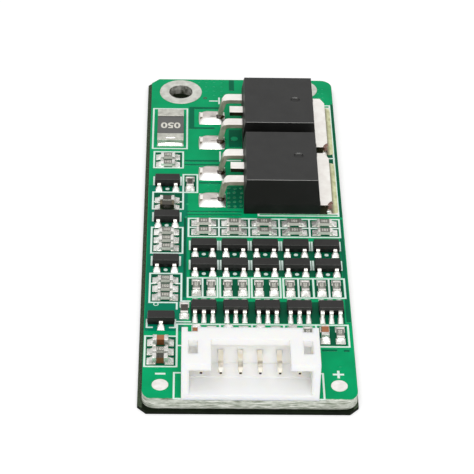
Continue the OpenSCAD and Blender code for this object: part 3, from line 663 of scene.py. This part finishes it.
def makeTemplate(name, cuts, shape):
    # A cube of side 1 with a grid on each face, moved by a function of each point
    bm = bmesh.new()
    bmesh.ops.create_cube(bm, size=1)
    bmesh.ops.subdivide_edges(bm, edges=bm.edges, cuts=cuts, use_grid_fill=True)
    for vert in bm.verts:
        vert.co = shape(vert.co)
    mesh = bpy.data.meshes.new(name)
    bm.to_mesh(mesh)
    bm.free()
    return mesh


slope = {"foot": 0.06, "roundSides": 0.35, "narrowFoot": 0.12, "narrowFrom": 0.6}


def wedge(topWidth, curve):
    # x runs 0 to 1 away from the part, y across, z up: a hollow slope, narrower at its top
    def shape(p):
        u, v, w = p.x + 0.5, 2 * p.y, p.z + 0.5
        height = (1 - u) ** curve * (1 - slope["foot"]) + slope["foot"]
        side = 1 - slope["roundSides"] * abs(v) ** 3
        narrow = 1 - (1 - topWidth) * w * (1 - u)
        narrow -= slope["narrowFoot"] * max(0.0, u - slope["narrowFrom"])
        return Vector((u, p.y * narrow, w * height * side))

    return shape


mound = {"square": 7, "endCurve": 0.6, "sideCurve": 0.65, "draft": 0.04, "edge": 0.07}


def moundShape(p):
    # x and y run -1 to 1, z 0 to 1: a full heap, round at the sides and nearly square in plan
    u, v, w = 2 * p.x, 2 * p.y, p.z + 0.5
    power = mound["square"]
    ends = max(0.0, 1 - abs(u) ** power) ** mound["endCurve"]
    sides = max(0.0, 1 - abs(v) ** 3) ** mound["sideCurve"]
    reach = max(abs(u), abs(v))
    corner = reach / (abs(u) ** power + abs(v) ** power) ** (1 / power) if reach > 0.01 else 1.0
    pull = (1 - mound["draft"] * w) * corner
    height = mound["edge"] + (1 - mound["edge"]) * (ends * sides)
    return Vector((u * pull, v * pull, w * height))


filletMesh = makeTemplate("filletTemplate", 2, wedge(0.80, 1.5))
coneMesh = makeTemplate("coneTemplate", 2, wedge(0.70, 1.0))
moundMesh = makeTemplate("moundTemplate", 6, moundShape)


def outward(part, land):
    # Which way a land reaches furthest past its part
    reach = {
        (1, 0): land[1].x - part[1].x,
        (-1, 0): part[0].x - land[0].x,
        (0, 1): land[1].y - part[1].y,
        (0, -1): part[0].y - land[0].y,
    }
    way = max(reach, key=reach.get)
    return Vector((way[0], way[1], 0)), reach[way]


def landUnder(part, lands):
    spot = middle(part)
    for land in lands:
        if land[0].x < spot.x < land[1].x and land[0].y < spot.y < land[1].y:
            return land
    return None


# ---- solder ----

cellX = [middle(boardBox("monitor_%d" % k)).x for k in range(1, 6)]
cellHalf = (cellX[1] - cellX[0]) / 2

chipLands = islandBoxes("chip_lands")
chipSolder = {"rise": 0.86, "highest": 0.52, "into": 0.02, "jitter": 0.10, "inset": 0.03, "narrowest": 0.92}


def addFillet(bm, template, part, land, rise, into, width):
    way, reach = outward(part, land)
    half = abs((part[1] - part[0]).dot(way)) / 2
    start = middle(part) + way * (half - into)
    size = (reach + into - 0.01, width, rise)
    stamp(bm, template, placed((start.x, start.y, landTop), size, math.atan2(way.y, way.x)))


def vary(amount):
    return dice.uniform(1 - amount, 1 + amount)


def widthOn(land, part, given):
    # How wide the solder is across its land
    way = outward(part, land)[0]
    size = land[1] - land[0]
    across = size.y if abs(way.x) > 0.5 else size.x
    return (across - given["inset"]) * dice.uniform(given["narrowest"], 1.0)


def buildChipSolder():
    bm = bmesh.new()
    kinds = ("bleed_resistor", "gate_resistor", "control_resistor")
    kinds += ("filter_resistor", "filter_capacitor", "delay_capacitor")
    for part in islandBoxes(*[kind + "_terminals" for kind in kinds]):
        land = landUnder(part, chipLands)
        width = widthOn(land, part, chipSolder)
        rise = min((part[1].z - part[0].z) * chipSolder["rise"], chipSolder["highest"])
        rise *= vary(chipSolder["jitter"])
        addFillet(bm, filletMesh, part, land, rise, chipSolder["into"], width)
    return closePiece("chip_solder", bm, "solder", 50)


leadSolder = {"rise": 0.66, "into": 0.36, "jitter": 0.08, "inset": 0.03, "narrowest": 0.9}


def buildLeadSolder():
    bm = bmesh.new()
    rows = [row + "_transistor_leads" for row in ("upper", "lower", "control")]
    for part in islandBoxes(*rows, *["monitor_leads_%d" % k for k in range(1, 6)]):
        spot = middle(part)
        for land in chipLands:
            inX = land[0].x < spot.x < land[1].x
            if inX and land[0].y < part[1].y and land[1].y > part[0].y:
                width = widthOn(land, part, leadSolder)
                rise = (part[1].z - landTop) * leadSolder["rise"] * vary(leadSolder["jitter"])
                addFillet(bm, coneMesh, part, land, rise, leadSolder["into"], width)
    return closePiece("lead_solder", bm, "leadSolder", 50)


powerSolder = {
    "rise": 0.57,
    "jitter": 0.06,
    "over": 0.05,
    "foot": 1.0,
    "bead": 0.2,
    "beadIn": 0.42,
    "shuntLand": 2.5,
    # Above the shunt's ends, onto them, and width
    "shuntFront": (0.06, 0.42, 3.05),
    "shuntRear": (-0.1, 0.02, 3.05),
}


def buildPowerSolder():
    bm = bmesh.new()
    lands = islandBoxes("mosfet_lands")
    over = powerSolder["over"]
    for name in outerLeads:
        low, high = boardBox(name)
        foot = Vector((low.x + powerSolder["foot"], high.y, high.z))
        land = landUnder((low, foot), lands)
        spot, half = middle(land), (land[1] - land[0]) / 2
        size = (half.x + over, half.y + over, powerSolder["rise"] * vary(powerSolder["jitter"]))
        stamp(bm, moundMesh, placed((spot.x, spot.y, landTop), size))
    # A bead at the front outer corner of each tab
    r = powerSolder["bead"]
    for name in drains:
        low, high = boardBox(name)
        addBead(bm, (high.x - powerSolder["beadIn"], low.y, landTop + 2 * r), r)
    # The shunt's two ends
    wideLands = [land for land in chipLands if land[1].x - land[0].x > powerSolder["shuntLand"]]
    for part in islandBoxes("shunt_terminals"):
        front = middle(part).y < middle(boardBox("shunt_body")).y
        above, into, width = powerSolder["shuntFront" if front else "shuntRear"]
        rise = part[1].z - landTop + above
        addFillet(bm, filletMesh, part, landUnder(part, wideLands), rise, into, width)
    return closePiece("power_solder", bm, "poolSolder", 50)


tabSolder = {"under": 0.02, "share": 0.97, "rise": 0.34}


def buildTabStain():
    # The solder beside each tab, under its flux
    bm = bmesh.new()
    lands = islandBoxes("mosfet_lands")
    for name in drains:
        low, high = boardBox(name)
        inside = high - Vector((0.45, 5, 0))
        land = landUnder((inside, inside), lands)
        spot = (high.x - tabSolder["under"], (low.y + high.y) / 2, landTop)
        size = (land[1].x - high.x, (high.y - low.y) * tabSolder["share"], tabSolder["rise"])
        stamp(bm, filletMesh, placed(spot, size))
    return closePiece("tab_solder", bm, "stain", 50)


# Depths by place, and the y where the hidden ends and the column begin
endCaps = {
    "column": 0.34,
    "front": 0.42,
    "rear": 0.58,
    "over": 0.015,
    "bevel": 0.05,
    "hiddenFrom": 10.3,
    "columnFrom": 11,
}


def buildEndCaps():
    # Solder that has run up over the ends of the column's chips and of the capacitors
    bm = bmesh.new()
    resistors = islandBoxes("control_resistor_terminals")
    capacitors = islandBoxes("filter_capacitor_terminals")
    over = endCaps["over"]
    for part in resistors + capacitors:
        spot = middle(part)
        way = outward(part, landUnder(part, chipLands))[0]
        along = abs(way.x) > 0.5
        if part in resistors and not along:
            continue
        hidden = spot.y > endCaps["hiddenFrom"] and not along
        if hidden and spot.x > cellX[-1] - cellHalf:
            continue
        deep = endCaps["rear" if hidden else "front" if spot.y < endCaps["columnFrom"] else "column"]
        low, high = part[0] - Vector((over, over, 0)), part[1] + Vector((over, over, over))
        cover = high - low
        cover[0 if along else 1] = deep + over
        outer = spot + way * (abs((part[1] - part[0]).dot(way)) / 2 + over)
        centre = outer - way * (deep + over) / 2
        verts = addBlock(
            bm,
            (centre.x - cover.x / 2, centre.y - cover.y / 2, low.z),
            (centre.x + cover.x / 2, centre.y + cover.y / 2, high.z * vary(0.02)),
        )
        edges = list({edge for vert in verts for edge in vert.link_edges})
        bmesh.ops.bevel(
            bm,
            geom=edges,
            offset=endCaps["bevel"],
            segments=2,
            profile=0.5,
            affect="EDGES",
            material=-1,
        )
    return closePiece("end_caps", bm, "solder", 40)


buildChipSolder()
buildEndCaps()
buildLeadSolder()
buildPowerSolder()
buildTabStain()


# ---- printed lines ----

silk = {
    "width": 0.20,
    "wide": 0.26,
    "ink": 0.012,
    "barReach": 1.55,
    "barFront": 0.12,
    "barLength": 1.35,
    "dot": 0.23,
    "dotFront": 0.93,
}
lineCount = 0


def addLine(bm, x0, y0, x1, y1, width=None):
    # Each line is a hair higher than the one before it, so that crossings don't flicker
    global lineCount
    lineCount += 1
    half = (width or silk["width"]) / 2
    high = silk["ink"] + 0.0004 * (lineCount % 23)
    low = (min(x0, x1) - half, min(y0, y1) - half, 0.0)
    addBlock(bm, low, (max(x0, x1) + half, max(y0, y1) + half, high))


def addLines(bm, lines):
    for line in lines:
        addLine(bm, *line)


def addFrame(bm, x0, y0, x1, y1):
    addLine(bm, x0, y0, x1, y0)
    addLine(bm, x0, y1, x1, y1)
    addLine(bm, x0, y0, x0, y1)
    addLine(bm, x1, y0, x1, y1)


gaps = [(cellX[k] + cellX[k + 1]) / 2 for k in range(4)]
leftEdge, rightEdge = cellX[0] - cellHalf, cellX[-1] + cellHalf
bleedBox, gateBox = boardBox("bleed_resistors"), boardBox("gate_resistors")
smallParts = ["%s_transistor_%d" % (row, k) for row in ("upper", "lower") for k in range(1, 6)]
columnParts = ["control_transistor_%d" % k for k in (2, 3, 4)]

# Frames round groups of chips: left, front, right, rear
frames = {
    "bleed": (leftEdge - 0.02, bleedBox[0].y - 0.38, rightEdge, bleedBox[1].y + 0.50),
    "front": (0.17, 5.0, 3.5, 9.77),
    "second": (0.50, 15.25, 3.9, 20.15),
    "third": (0.52, 23.7, 3.98, 28.3),
    "delay": (0.55, 31.68, 3.98, 34.85),
    "rear": (0.55, 39.56, 3.92, 42.73),
    "side": (3.98, 34.85, 5.6, 38.25),
    "shunt": (0.33, 43.4, 4.36, 51.6),
}
gateY = (gateBox[0].y - 0.80, gateBox[1].y + 0.92)
gateEdges = [(4.58, 7.80), (8.08, 11.2), (11.5, 14.6), (14.93, 18.17), (18.17, 21.55)]
gateFrames = [(x0, gateY[0], x1, gateY[1]) for x0, x1 in gateEdges]

# Single lines, as x and y of both ends
silkLines = {
    "second": [(3.44, 14.2, 3.44, 15.25), (3.9, 15.5, 3.9, 20.15), (3.9, 15.5, 4.8, 15.5)],
    "power": [
        (21.55, 30.6, 21.55, 52.55),
        (20.95, 52.55, 21.55, 52.55),
        (20.9, 41.62, 21.55, 41.62, silk["wide"]),
        (12.5, 30.6, 21.55, 30.6),
        (12.5, 30.6, 12.5, 31.0),
        (8.2, 52.8, 8.2, 54.0),
        (7.1, 53.35, 7.95, 53.35),
        (8.25, 41.0, 8.25, 42.8),
        (8.25, 41.1, 10.6, 41.1),
    ],
}
filterRow = {"left": 3.5, "front": 8.3, "rear": 11.72, "divider": 9.2, "rightFront": 8.25, "rightBack": 1.7}
headerMarks = {
    "sides": ((3.25, 1), (18.55, -1)),
    "front": 0.15,
    "rear": 4.05,
    "rearBar": 0.6,
    "frontBar": 0.75,
}


def buildSilkscreen():
    bm = bmesh.new()
    for name, sides in frames.items():
        if name != "second":
            addFrame(bm, *sides)
    x0, y0, x1, y1 = frames["bleed"]
    addLine(bm, x0, (y0 + y1) / 2, x1, (y0 + y1) / 2)
    for x in gaps:
        addLine(bm, x, y0, x, y1)
    for k, sides in enumerate(gateFrames):
        addFrame(bm, *sides)
        if k in (0, 3, 4):
            x = (sides[0] + sides[2]) / 2
            addLine(bm, x, sides[1], x, sides[3])
    # The second group's frame runs on beside the corner chip
    x0, y0, x1, y1 = frames["second"]
    addLine(bm, x0, y0, x0, y1)
    addLine(bm, x0, y1, x1, y1)
    addLine(bm, x0, y0, 3.44, y0)
    addLines(bm, silkLines["second"])
    # Side bars and a dot at each three lead package
    for name in smallParts + columnParts:
        spot = middle(boardBox(name))
        for s in (-1, 1):
            x = spot.x + s * silk["barReach"]
            addLine(bm, x, spot.y - silk["barFront"], x, spot.y + silk["barLength"])
        addDisc(bm, spot.x, spot.y - silk["dotFront"], silk["dot"], silk["ink"])
    spot = middle(boardBox("control_transistor_1"))
    for s in (-1, 1):
        x = spot.x + s * 1.5
        addLine(bm, x, spot.y - 0.95, x, spot.y + 0.3)
        addLine(bm, x, spot.y - 0.95, x - s * 0.55, spot.y - 0.95)
    for x, y in ((0.5, 18.45), (0.55, 33.05)):
        addLine(bm, x, y, x + 0.55, y)
        addLine(bm, 3.35, y, 3.9, y)
    addRing(bm, (1.21, 14.98), 0.2, 0.29, 0, silk["ink"], 20)
    addLine(bm, 3.44, 12.12, 4.9, 12.12)
    # Filter row behind the header
    left, front, rear = filterRow["left"], filterRow["front"], filterRow["rear"]
    addLine(bm, left, rear, rightEdge, rear)
    for x in gaps:
        addLine(bm, x, filterRow["divider"], x, rear)
    addLine(bm, left, front, left, rear)
    addLine(bm, left, front, left + 0.5, front)
    front = filterRow["rightFront"]
    addLine(bm, rightEdge, front, rightEdge, rear)
    addLine(bm, cellX[-1] - filterRow["rightBack"], front, rightEdge, front)
    # Header outline
    front, rear = headerMarks["front"], headerMarks["rear"]
    for x, s in headerMarks["sides"]:
        addLine(bm, x, front, x, rear)
        addLine(bm, x, rear, x + s * headerMarks["rearBar"], rear)
        addLine(bm, x, front, x + s * headerMarks["frontBar"], front)
    addLines(bm, silkLines["power"])
    # Signs beside the battery lands
    minus, plus = sorted((middle(box) for box in islandBoxes("battery_lands")), key=lambda p: p.x)
    wide = silk["wide"]
    addLine(bm, minus.x - 0.4, minus.y + 1.7, minus.x + 0.4, minus.y + 1.7, wide)
    addLine(bm, plus.x - 0.45, plus.y + 1.75, plus.x + 0.45, plus.y + 1.75, wide)
    addLine(bm, plus.x, plus.y + 1.3, plus.x, plus.y + 2.2, wide)
    faceOutwards(bm)
    return closePiece("silkscreen", bm, "ink")


buildSilkscreen()


# ---- mask over bare laminate, between the copper areas, and patches of painted shadow ----


tracksAndShade = [
    (9.42, 55.6, 10.05, 57.9),
    (4.9, 51.6, 8.3, 52.05),
    (4.6, 47.45, 5.2, 52.05),
    (5.2, 47.45, 7.6, 47.8),
    # Painted shadow: a dark block beside a power package's leads, round the test point
    (9.3, 43.8, 10.8, 47.3),
    (9.0, 31.9, 10.8, 36.1),
    (4.1, 40.84, 8.1, 41.16),
    (4.1, 40.10, 8.4, 40.36),
    (5.8, 36.55, 10.3, 36.85),
    (4.4, 31.2, 10.6, 31.4),
    (4.4, 30.6, 10.6, 30.78),
    (18.6, 7.55, 20.2, 7.85),
    (20.9, 7.5, 21.5, 7.8),
    (21.45, 12.2, 21.9, 30.0),
]
darkEdges = [(21.68, 30.4, 21.97, 52.9), (4.1, 16.2, 4.35, 30.2)]
drainLaps = [(20.75, 41.72, 21.45, 42.75), (20.75, 39.95, 21.45, 41.5)]
dimAreas = [(0.08, 13.4, 4.5, 36.2), (0.08, 10.6, 4.2, 13.4)]
# Rows of packages: the first, the last, and how far the gap reaches past them to the front and rear
packageRows = [
    ("lower_transistor_1", "upper_transistor_5", 0.7, 0.6),
    ("monitor_1", "monitor_5", 1.25, 0.9),
]
# Heights, each a little different from piece to piece where patches may cross
maskLayers = {
    "dim": 0.0016,
    "dimStep": 0.0002,
    "edge": 0.003,
    "edgeStep": -0.0004,
    "gapOrShade": 0.004,
    "track": 0.005,
    "trackStep": 0.0003,
    "lap": 0.012,
    "inside": 0.16,
}


def addPatches(bm, patches, kind):
    for k, sides in enumerate(patches):
        addPatch(bm, *sides, maskLayers[kind] + maskLayers[kind + "Step"] * k)


def buildGapsAndShade():
    bm = bmesh.new()
    top, inside = maskLayers["gapOrShade"], maskLayers["inside"]
    # Inside the printed frames, and round the small packages
    for x0, y0, x1, y1 in [sides for name, sides in frames.items() if name != "shunt"] + gateFrames:
        addPatch(bm, x0 + inside, y0 + inside, x1 - inside, y1 - inside, top)
    for first, last, front, rear in packageRows:
        low, high = boardBox(first)[0], boardBox(last)[1]
        addPatch(bm, low.x - 0.1, low.y - front, high.x + 0.1, high.y + rear, top)
    addPatch(bm, cellX[-1] - 1.45, 8.45, rightEdge - 0.2, 11.5, top)
    # Painted shadow: a darker patch in front of each package in the column, where its body's shadow falls
    for name in columnParts:
        spot = middle(boardBox(name))
        addPatch(bm, spot.x - 1.3, spot.y - 1.35, spot.x + 1.3, spot.y - 0.2, top)
    addPatches(bm, darkEdges, "edge")
    # The mask laps over both ends of the drain lands
    for sides in drainLaps:
        addPatch(bm, *sides, landTop + maskLayers["lap"])
    return closePiece("mask_gaps_and_shade", bm, "maskGapAndShade")


def buildDimArea():
    # The mask is darker round the left column
    bm = bmesh.new()
    addPatches(bm, dimAreas, "dim")
    return closePiece("mask_dim", bm, "maskDim")


def buildTracksAndShade():
    bm = bmesh.new()
    addPatches(bm, tracksAndShade, "track")
    return closePiece("mask_tracks_and_shade", bm, "maskTrackAndShade")


# ---- vias under the mask ----

viaField = {
    "radius": 0.15,
    "height": 0.02,
    "drill": 0.08,
    "rim": 0.03,
    "wander": 0.03,
    "heightJitter": 0.2,
    "testPoint": (9.95, 45.5, 0.42, 0.014),
    "stained": (6.5, 53.95),
}


def viaGrid(x0, y0, columns, rows, dx, dy, cut=0):
    # A field of vias, with its front left corner cut off
    return [(x0 + dx * i, y0 + dy * j) for i in range(columns) for j in range(rows) if i + j >= cut]


openVias = [
    (x + dice.uniform(-0.1, 0.1), y + dice.uniform(-0.12, 0.12))
    for x, y in viaGrid(9.25, 32.3, 3, 5, 0.66, 0.85)
]


def buildVias():
    bm = bmesh.new()
    r, wander = viaField["radius"], viaField["wander"]
    covered = viaGrid(5.75, 54.5, 4, 4, 0.92, 0.93, 2)
    covered += viaGrid(6.9, 35.3, 2, 2, 0.85, 0.9)
    covered += viaGrid(20.3, 54.2, 2, 3, 0.5, 0.9)
    covered += [(4.45, 32.6), (4.3, 30.2), (20.4, 5.1)]
    for x, y in covered:
        spot = (x + dice.uniform(-wander, wander), y + dice.uniform(-wander, wander), 0)
        addBead(bm, spot, 1, (r, r, viaField["height"] * vary(viaField["heightJitter"])))
    for spot in openVias:
        addRing(bm, spot, viaField["drill"], r + viaField["rim"], 0, 0.03, 14)
    addDisc(bm, *viaField["testPoint"], 24)
    faceOutwards(bm)
    return closePiece("vias", bm, "maskBump", 60)


def buildViaHoleShade():
    # Painted shade: dark discs in the middles of the open vias, standing in for the shade in their holes;
    # and the stained via beside the ring
    bm = bmesh.new()
    for x, y in openVias:
        addDisc(bm, x, y, viaField["drill"], 0.012, 10)
    addRing(bm, viaField["stained"], 0.12, 0.22, 0, 0.02, 14)
    faceOutwards(bm)
    return closePiece("open_vias", bm, "flux", 40)


buildDimArea()
buildGapsAndShade()
buildTracksAndShade()
buildVias()
buildViaHoleShade()


# ---- ring plating, flux, numbers ----

plating = {
    "thickness": 0.045,
    "clear": 0.004,
    "above": 0.01,
    "below": 0.005,
    "wideRing": 4.5,
    "wideBore": 1.45,
    "smallBore": 1.0,
    # Angle, size and depth of each bead of tin that ran down the wall
    "beads": [(-50, 0.22, 0.35), (-20, 0.16, 0.9), (150, 0.15, 0.25)],
    "beadIn": 0.1,
    "beadLong": 2.2,
}


def buildPlating():
    bm = bmesh.new()
    bottom, top = plating["above"] - boardSize.z, landTop - plating["below"]
    for ring in islandBoxes("power_ring_lands"):
        spot = middle(ring)
        wide = ring[1].x - ring[0].x > plating["wideRing"]
        radius = plating["wideBore" if wide else "smallBore"]
        addRing(bm, spot, radius - plating["thickness"], radius - plating["clear"], bottom, top, 48)
        for angle, size, depth in plating["beads"] if wide else ():
            a, out = math.radians(angle), radius - plating["beadIn"]
            place = (spot.x + out * math.cos(a), spot.y + out * math.sin(a), -depth)
            addBead(bm, place, size * 0.5, (1, 1, plating["beadLong"]))
    faceOutwards(bm)
    return closePiece("ring_plating", bm, "wallTin", 40)


def fluxShape(p):
    # A low round drop with a wavy outline
    u, v, w = 2 * p.x, 2 * p.y, p.z + 0.5
    around = math.atan2(v, u)
    wobble = 1 + 0.08 * math.sin(3 * around + 1) + 0.05 * math.sin(5 * around)
    r = max(abs(u), abs(v))
    length = math.hypot(u, v) or 1
    x, y = u / length * r * wobble, v / length * r * wobble
    return Vector((x, y, w * (0.05 + 0.95 * max(0.0, 1 - r * r) ** 0.6)))


fluxMesh = makeTemplate("fluxTemplate", 5, fluxShape)
# Each spot: offset in x, y and z, then reach in x and y, and height
fluxSpots = {
    "foot": (-0.22, -0.34, 0.42, 0.52, 0.42, 0.34),
    "streak": (-0.97, -0.36, -0.06, 0.55, 0.07, 0.07),
    "tabCorner": (-0.22, 0.35, -0.05, 0.22, 0.5, 0.16),
    "tabSide": (-0.24, 0.10, -0.45, 0.22, 0.3, 0.45),
}
fluxPlace = {"bend": 2.55, "jitter": 0.1, "tabTurn": -35}


def addFlux(bm, spot, kind, turn=0.0, jitter=None):
    dx, dy, dz, rx, ry, h = fluxSpots[kind]
    if jitter:
        rx, ry = rx * vary(jitter), ry * vary(jitter)
    stamp(bm, fluxMesh, placed((spot[0] + dx, spot[1] + dy, spot[2] + dz), (rx, ry, h), turn))


def tabTop(node):
    # The tab's own top face, which is lower than its middle lead
    points = [toBoard(vert.co) for vert in frame["nodes"][node].data.vertices]
    outer = max(p.x for p in points)
    return max(p.z for p in points if p.x > outer - 0.6)


def buildFlux():
    bm = bmesh.new()
    # At the foot of each outer lead, where it rises out of the solder
    for name in outerLeads:
        low, high = boardBox(name)
        x, y = low.x + fluxPlace["bend"], (low.y + high.y) / 2
        addFlux(bm, (x, y, landTop), "foot", jitter=fluxPlace["jitter"])
        addFlux(bm, (x, y, landTop + powerSolder["rise"]), "streak")
    # Over the cut corner of each tab
    for name in drains:
        low, high = boardBox(name)
        for kind in ("tabCorner", "tabSide"):
            addFlux(bm, (high.x, low.y, tabTop(name)), kind, math.radians(fluxPlace["tabTurn"]))
    faceOutwards(bm)
    return closePiece("flux_residue", bm, "flux", 180)


# Plain values, with no maker's code
codes = {
    "bleed": "101",
    "gate": "102",
    "shunt": "050",
    "size": 0.52,
    "weight": 0.012,
    "lift": 0.003,
    "shuntSize": 1.55,
    "shuntWeight": 0.045,
    "shuntLift": 0.004,
    "thickness": 0.004,
}


def numberMesh(text, size, weight):
    curve = bpy.data.curves.new("number" + text, "FONT")
    curve.body = text
    curve.size = size
    curve.resolution_u = 4
    curve.extrude = codes["thickness"]
    curve.offset = weight
    curve.align_x = "CENTER"
    curve.align_y = "CENTER"
    holder = bpy.data.objects.new("numberHolder", curve)
    bpy.context.scene.collection.objects.link(holder)
    bpy.context.view_layer.update()
    mesh = bpy.data.meshes.new_from_object(holder.evaluated_get(bpy.context.evaluated_depsgraph_get()))
    bpy.data.objects.remove(holder)
    return mesh


def isDark(part):
    size = part[1] - part[0]
    delay = boardBox("delay_capacitors")
    return size.y > size.x or delay[1].y < part[1].y < delay[1].y + 2


def buildNumbers():
    bm = bmesh.new()
    bleed, gate = [numberMesh(codes[kind], codes["size"], codes["weight"]) for kind in ("bleed", "gate")]
    for kind in ("bleed", "gate", "control", "filter"):
        for part in islandBoxes(kind + "_resistors"):
            if kind == "control" and isDark(part):
                continue
            spot, size = middle(part), part[1] - part[0]
            turn = math.pi / 2 if size.y > size.x else 0.0
            place = placed((spot.x, spot.y, part[1].z + codes["lift"]), turn=turn)
            stamp(bm, bleed if kind == "bleed" else gate, place)
    shunt = boardBox("shunt_body")
    spot = middle(shunt)
    place = placed((spot.x, spot.y, shunt[1].z + codes["shuntLift"]), turn=math.pi)
    stamp(bm, numberMesh(codes["shunt"], codes["shuntSize"], codes["shuntWeight"]), place)
    bmesh.ops.remove_doubles(bm, verts=bm.verts, dist=0.0001)
    return closePiece("chip_numbers", bm, "codeInk")


darkTops = {"thickness": 0.02, "lying": 1, "frontOf": 20, "frontInset": 0.06, "rearInset": 0.16}


def buildDarkTops():
    # The two chips beside the column, the one behind the delay capacitor
    # and the one under the header's left notch are nearly black
    bm = bmesh.new()
    leftmost = min(islandBoxes("filter_capacitors"), key=lambda part: part[0].x)
    for part in [part for part in islandBoxes("control_resistors") if isDark(part)] + [leftmost]:
        low, high = part
        inset = darkTops["frontInset" if low.y < darkTops["frontOf"] else "rearInset"]
        if part is leftmost or high.x - low.x > darkTops["lying"]:
            inset = 0.0
        top = high.z + darkTops["thickness"]
        addBlock(bm, (low.x + inset, low.y, high.z), (high.x - inset, high.y, top))
    return closePiece("dark_tops", bm, "capacitor_dark")


buildPlating()
buildFlux()
buildNumbers()
buildDarkTops()


# ---- floor, light, camera ----

studio = {
    "floorSize": 3.0,
    "floorColour": (0.86, 0.86, 0.86, 1),
    "floorGlow": 0.26,
    "skyLevel": 0.60,
    "skySeen": 1.0,
    "overhead": {"place": (-0.08, -0.20, 0.60), "size": 0.45, "power": 0.90},
    "front": {"place": (0.05, -0.62, 0.56), "size": 0.45, "power": 2.02},
}


def seenDirectly(tree):
    # 1 where a surface is seen, mirrored or seen through, 0 where it only lights
    path = addNode(tree, "ShaderNodeLightPath").outputs
    seen = mathNode(tree, "MAXIMUM", path["Is Camera Ray"], path["Is Glossy Ray"])
    return mathNode(tree, "MAXIMUM", seen, path["Is Transmission Ray"])


def buildFloor():
    bm = bmesh.new()
    bmesh.ops.create_grid(bm, x_segments=1, y_segments=1, size=studio["floorSize"] / 2)
    mesh = bpy.data.meshes.new("studioFloor")
    bm.to_mesh(mesh)
    bm.free()
    floor = bpy.data.objects.new("studioFloor", mesh)
    bpy.context.scene.collection.objects.link(floor)
    floor.location.z = -0.00002
    material = bpy.data.materials.new("paleFloor")
    material.use_nodes = True
    tree = material.node_tree
    tree.nodes.clear()
    strength = times(tree, seenDirectly(tree), studio["floorGlow"])
    glow = addNode(tree, "ShaderNodeEmission", {"Strength": strength})
    matt = addNode(tree, "ShaderNodeBsdfDiffuse", {"Color": studio["floorColour"]})
    both = addNode(tree, "ShaderNodeAddShader", {0: glow.outputs[0], 1: matt.outputs[0]})
    out = addNode(tree, "ShaderNodeOutputMaterial")
    join(tree, both.outputs[0], out.inputs["Surface"])
    mesh.materials.append(material)


def buildSky():
    world = bpy.data.worlds.new("studioSky")
    bpy.context.scene.world = world
    world.use_nodes = True
    # White where it is seen or mirrored, softer as a light
    tree = world.node_tree
    back = tree.nodes["Background"]
    back.inputs["Color"].default_value = (1, 1, 1, 1)
    extra = times(tree, seenDirectly(tree), studio["skySeen"] - studio["skyLevel"])
    join(tree, mathNode(tree, "ADD", extra, studio["skyLevel"]), back.inputs["Strength"])


def buildLamp(name, place, size, power):
    light = bpy.data.lights.new(name, "AREA")
    light.size = size
    light.energy = power
    lamp = bpy.data.objects.new(name, light)
    bpy.context.scene.collection.objects.link(lamp)
    lamp.location = place
    lamp.rotation_euler = (Vector((0, 0, 0)) - Vector(place)).to_track_quat("-Z", "Y").to_euler()


# The viewer's place is in board coordinates
viewer = {
    "place": (4.6285, -153.672, 141.775),
    "tilt": 51.842,
    "turn": -1.713,
    "roll": 1.544,
    "lens": 156.63,
}


def buildCamera():
    data = bpy.data.cameras.new("viewer")
    data.lens = viewer["lens"]
    data.sensor_width = 36
    data.clip_start = 0.01
    camera = bpy.data.objects.new("viewer", data)
    bpy.context.scene.collection.objects.link(camera)
    camera.matrix_world = (
        Matrix.Translation(boardMatrix @ Vector(viewer["place"]))
        @ Matrix.Rotation(math.radians(viewer["turn"]), 4, "Z")
        @ Matrix.Rotation(math.radians(viewer["tilt"]), 4, "X")
        @ Matrix.Rotation(math.radians(viewer["roll"]), 4, "Z")
    )
    bpy.context.scene.camera = camera


buildFloor()
buildSky()
for name in ("overhead", "front"):
    buildLamp(name, **studio[name])
buildCamera()
bpy.context.scene.view_settings.view_transform = "Standard"
print("stage: floor, light and camera")
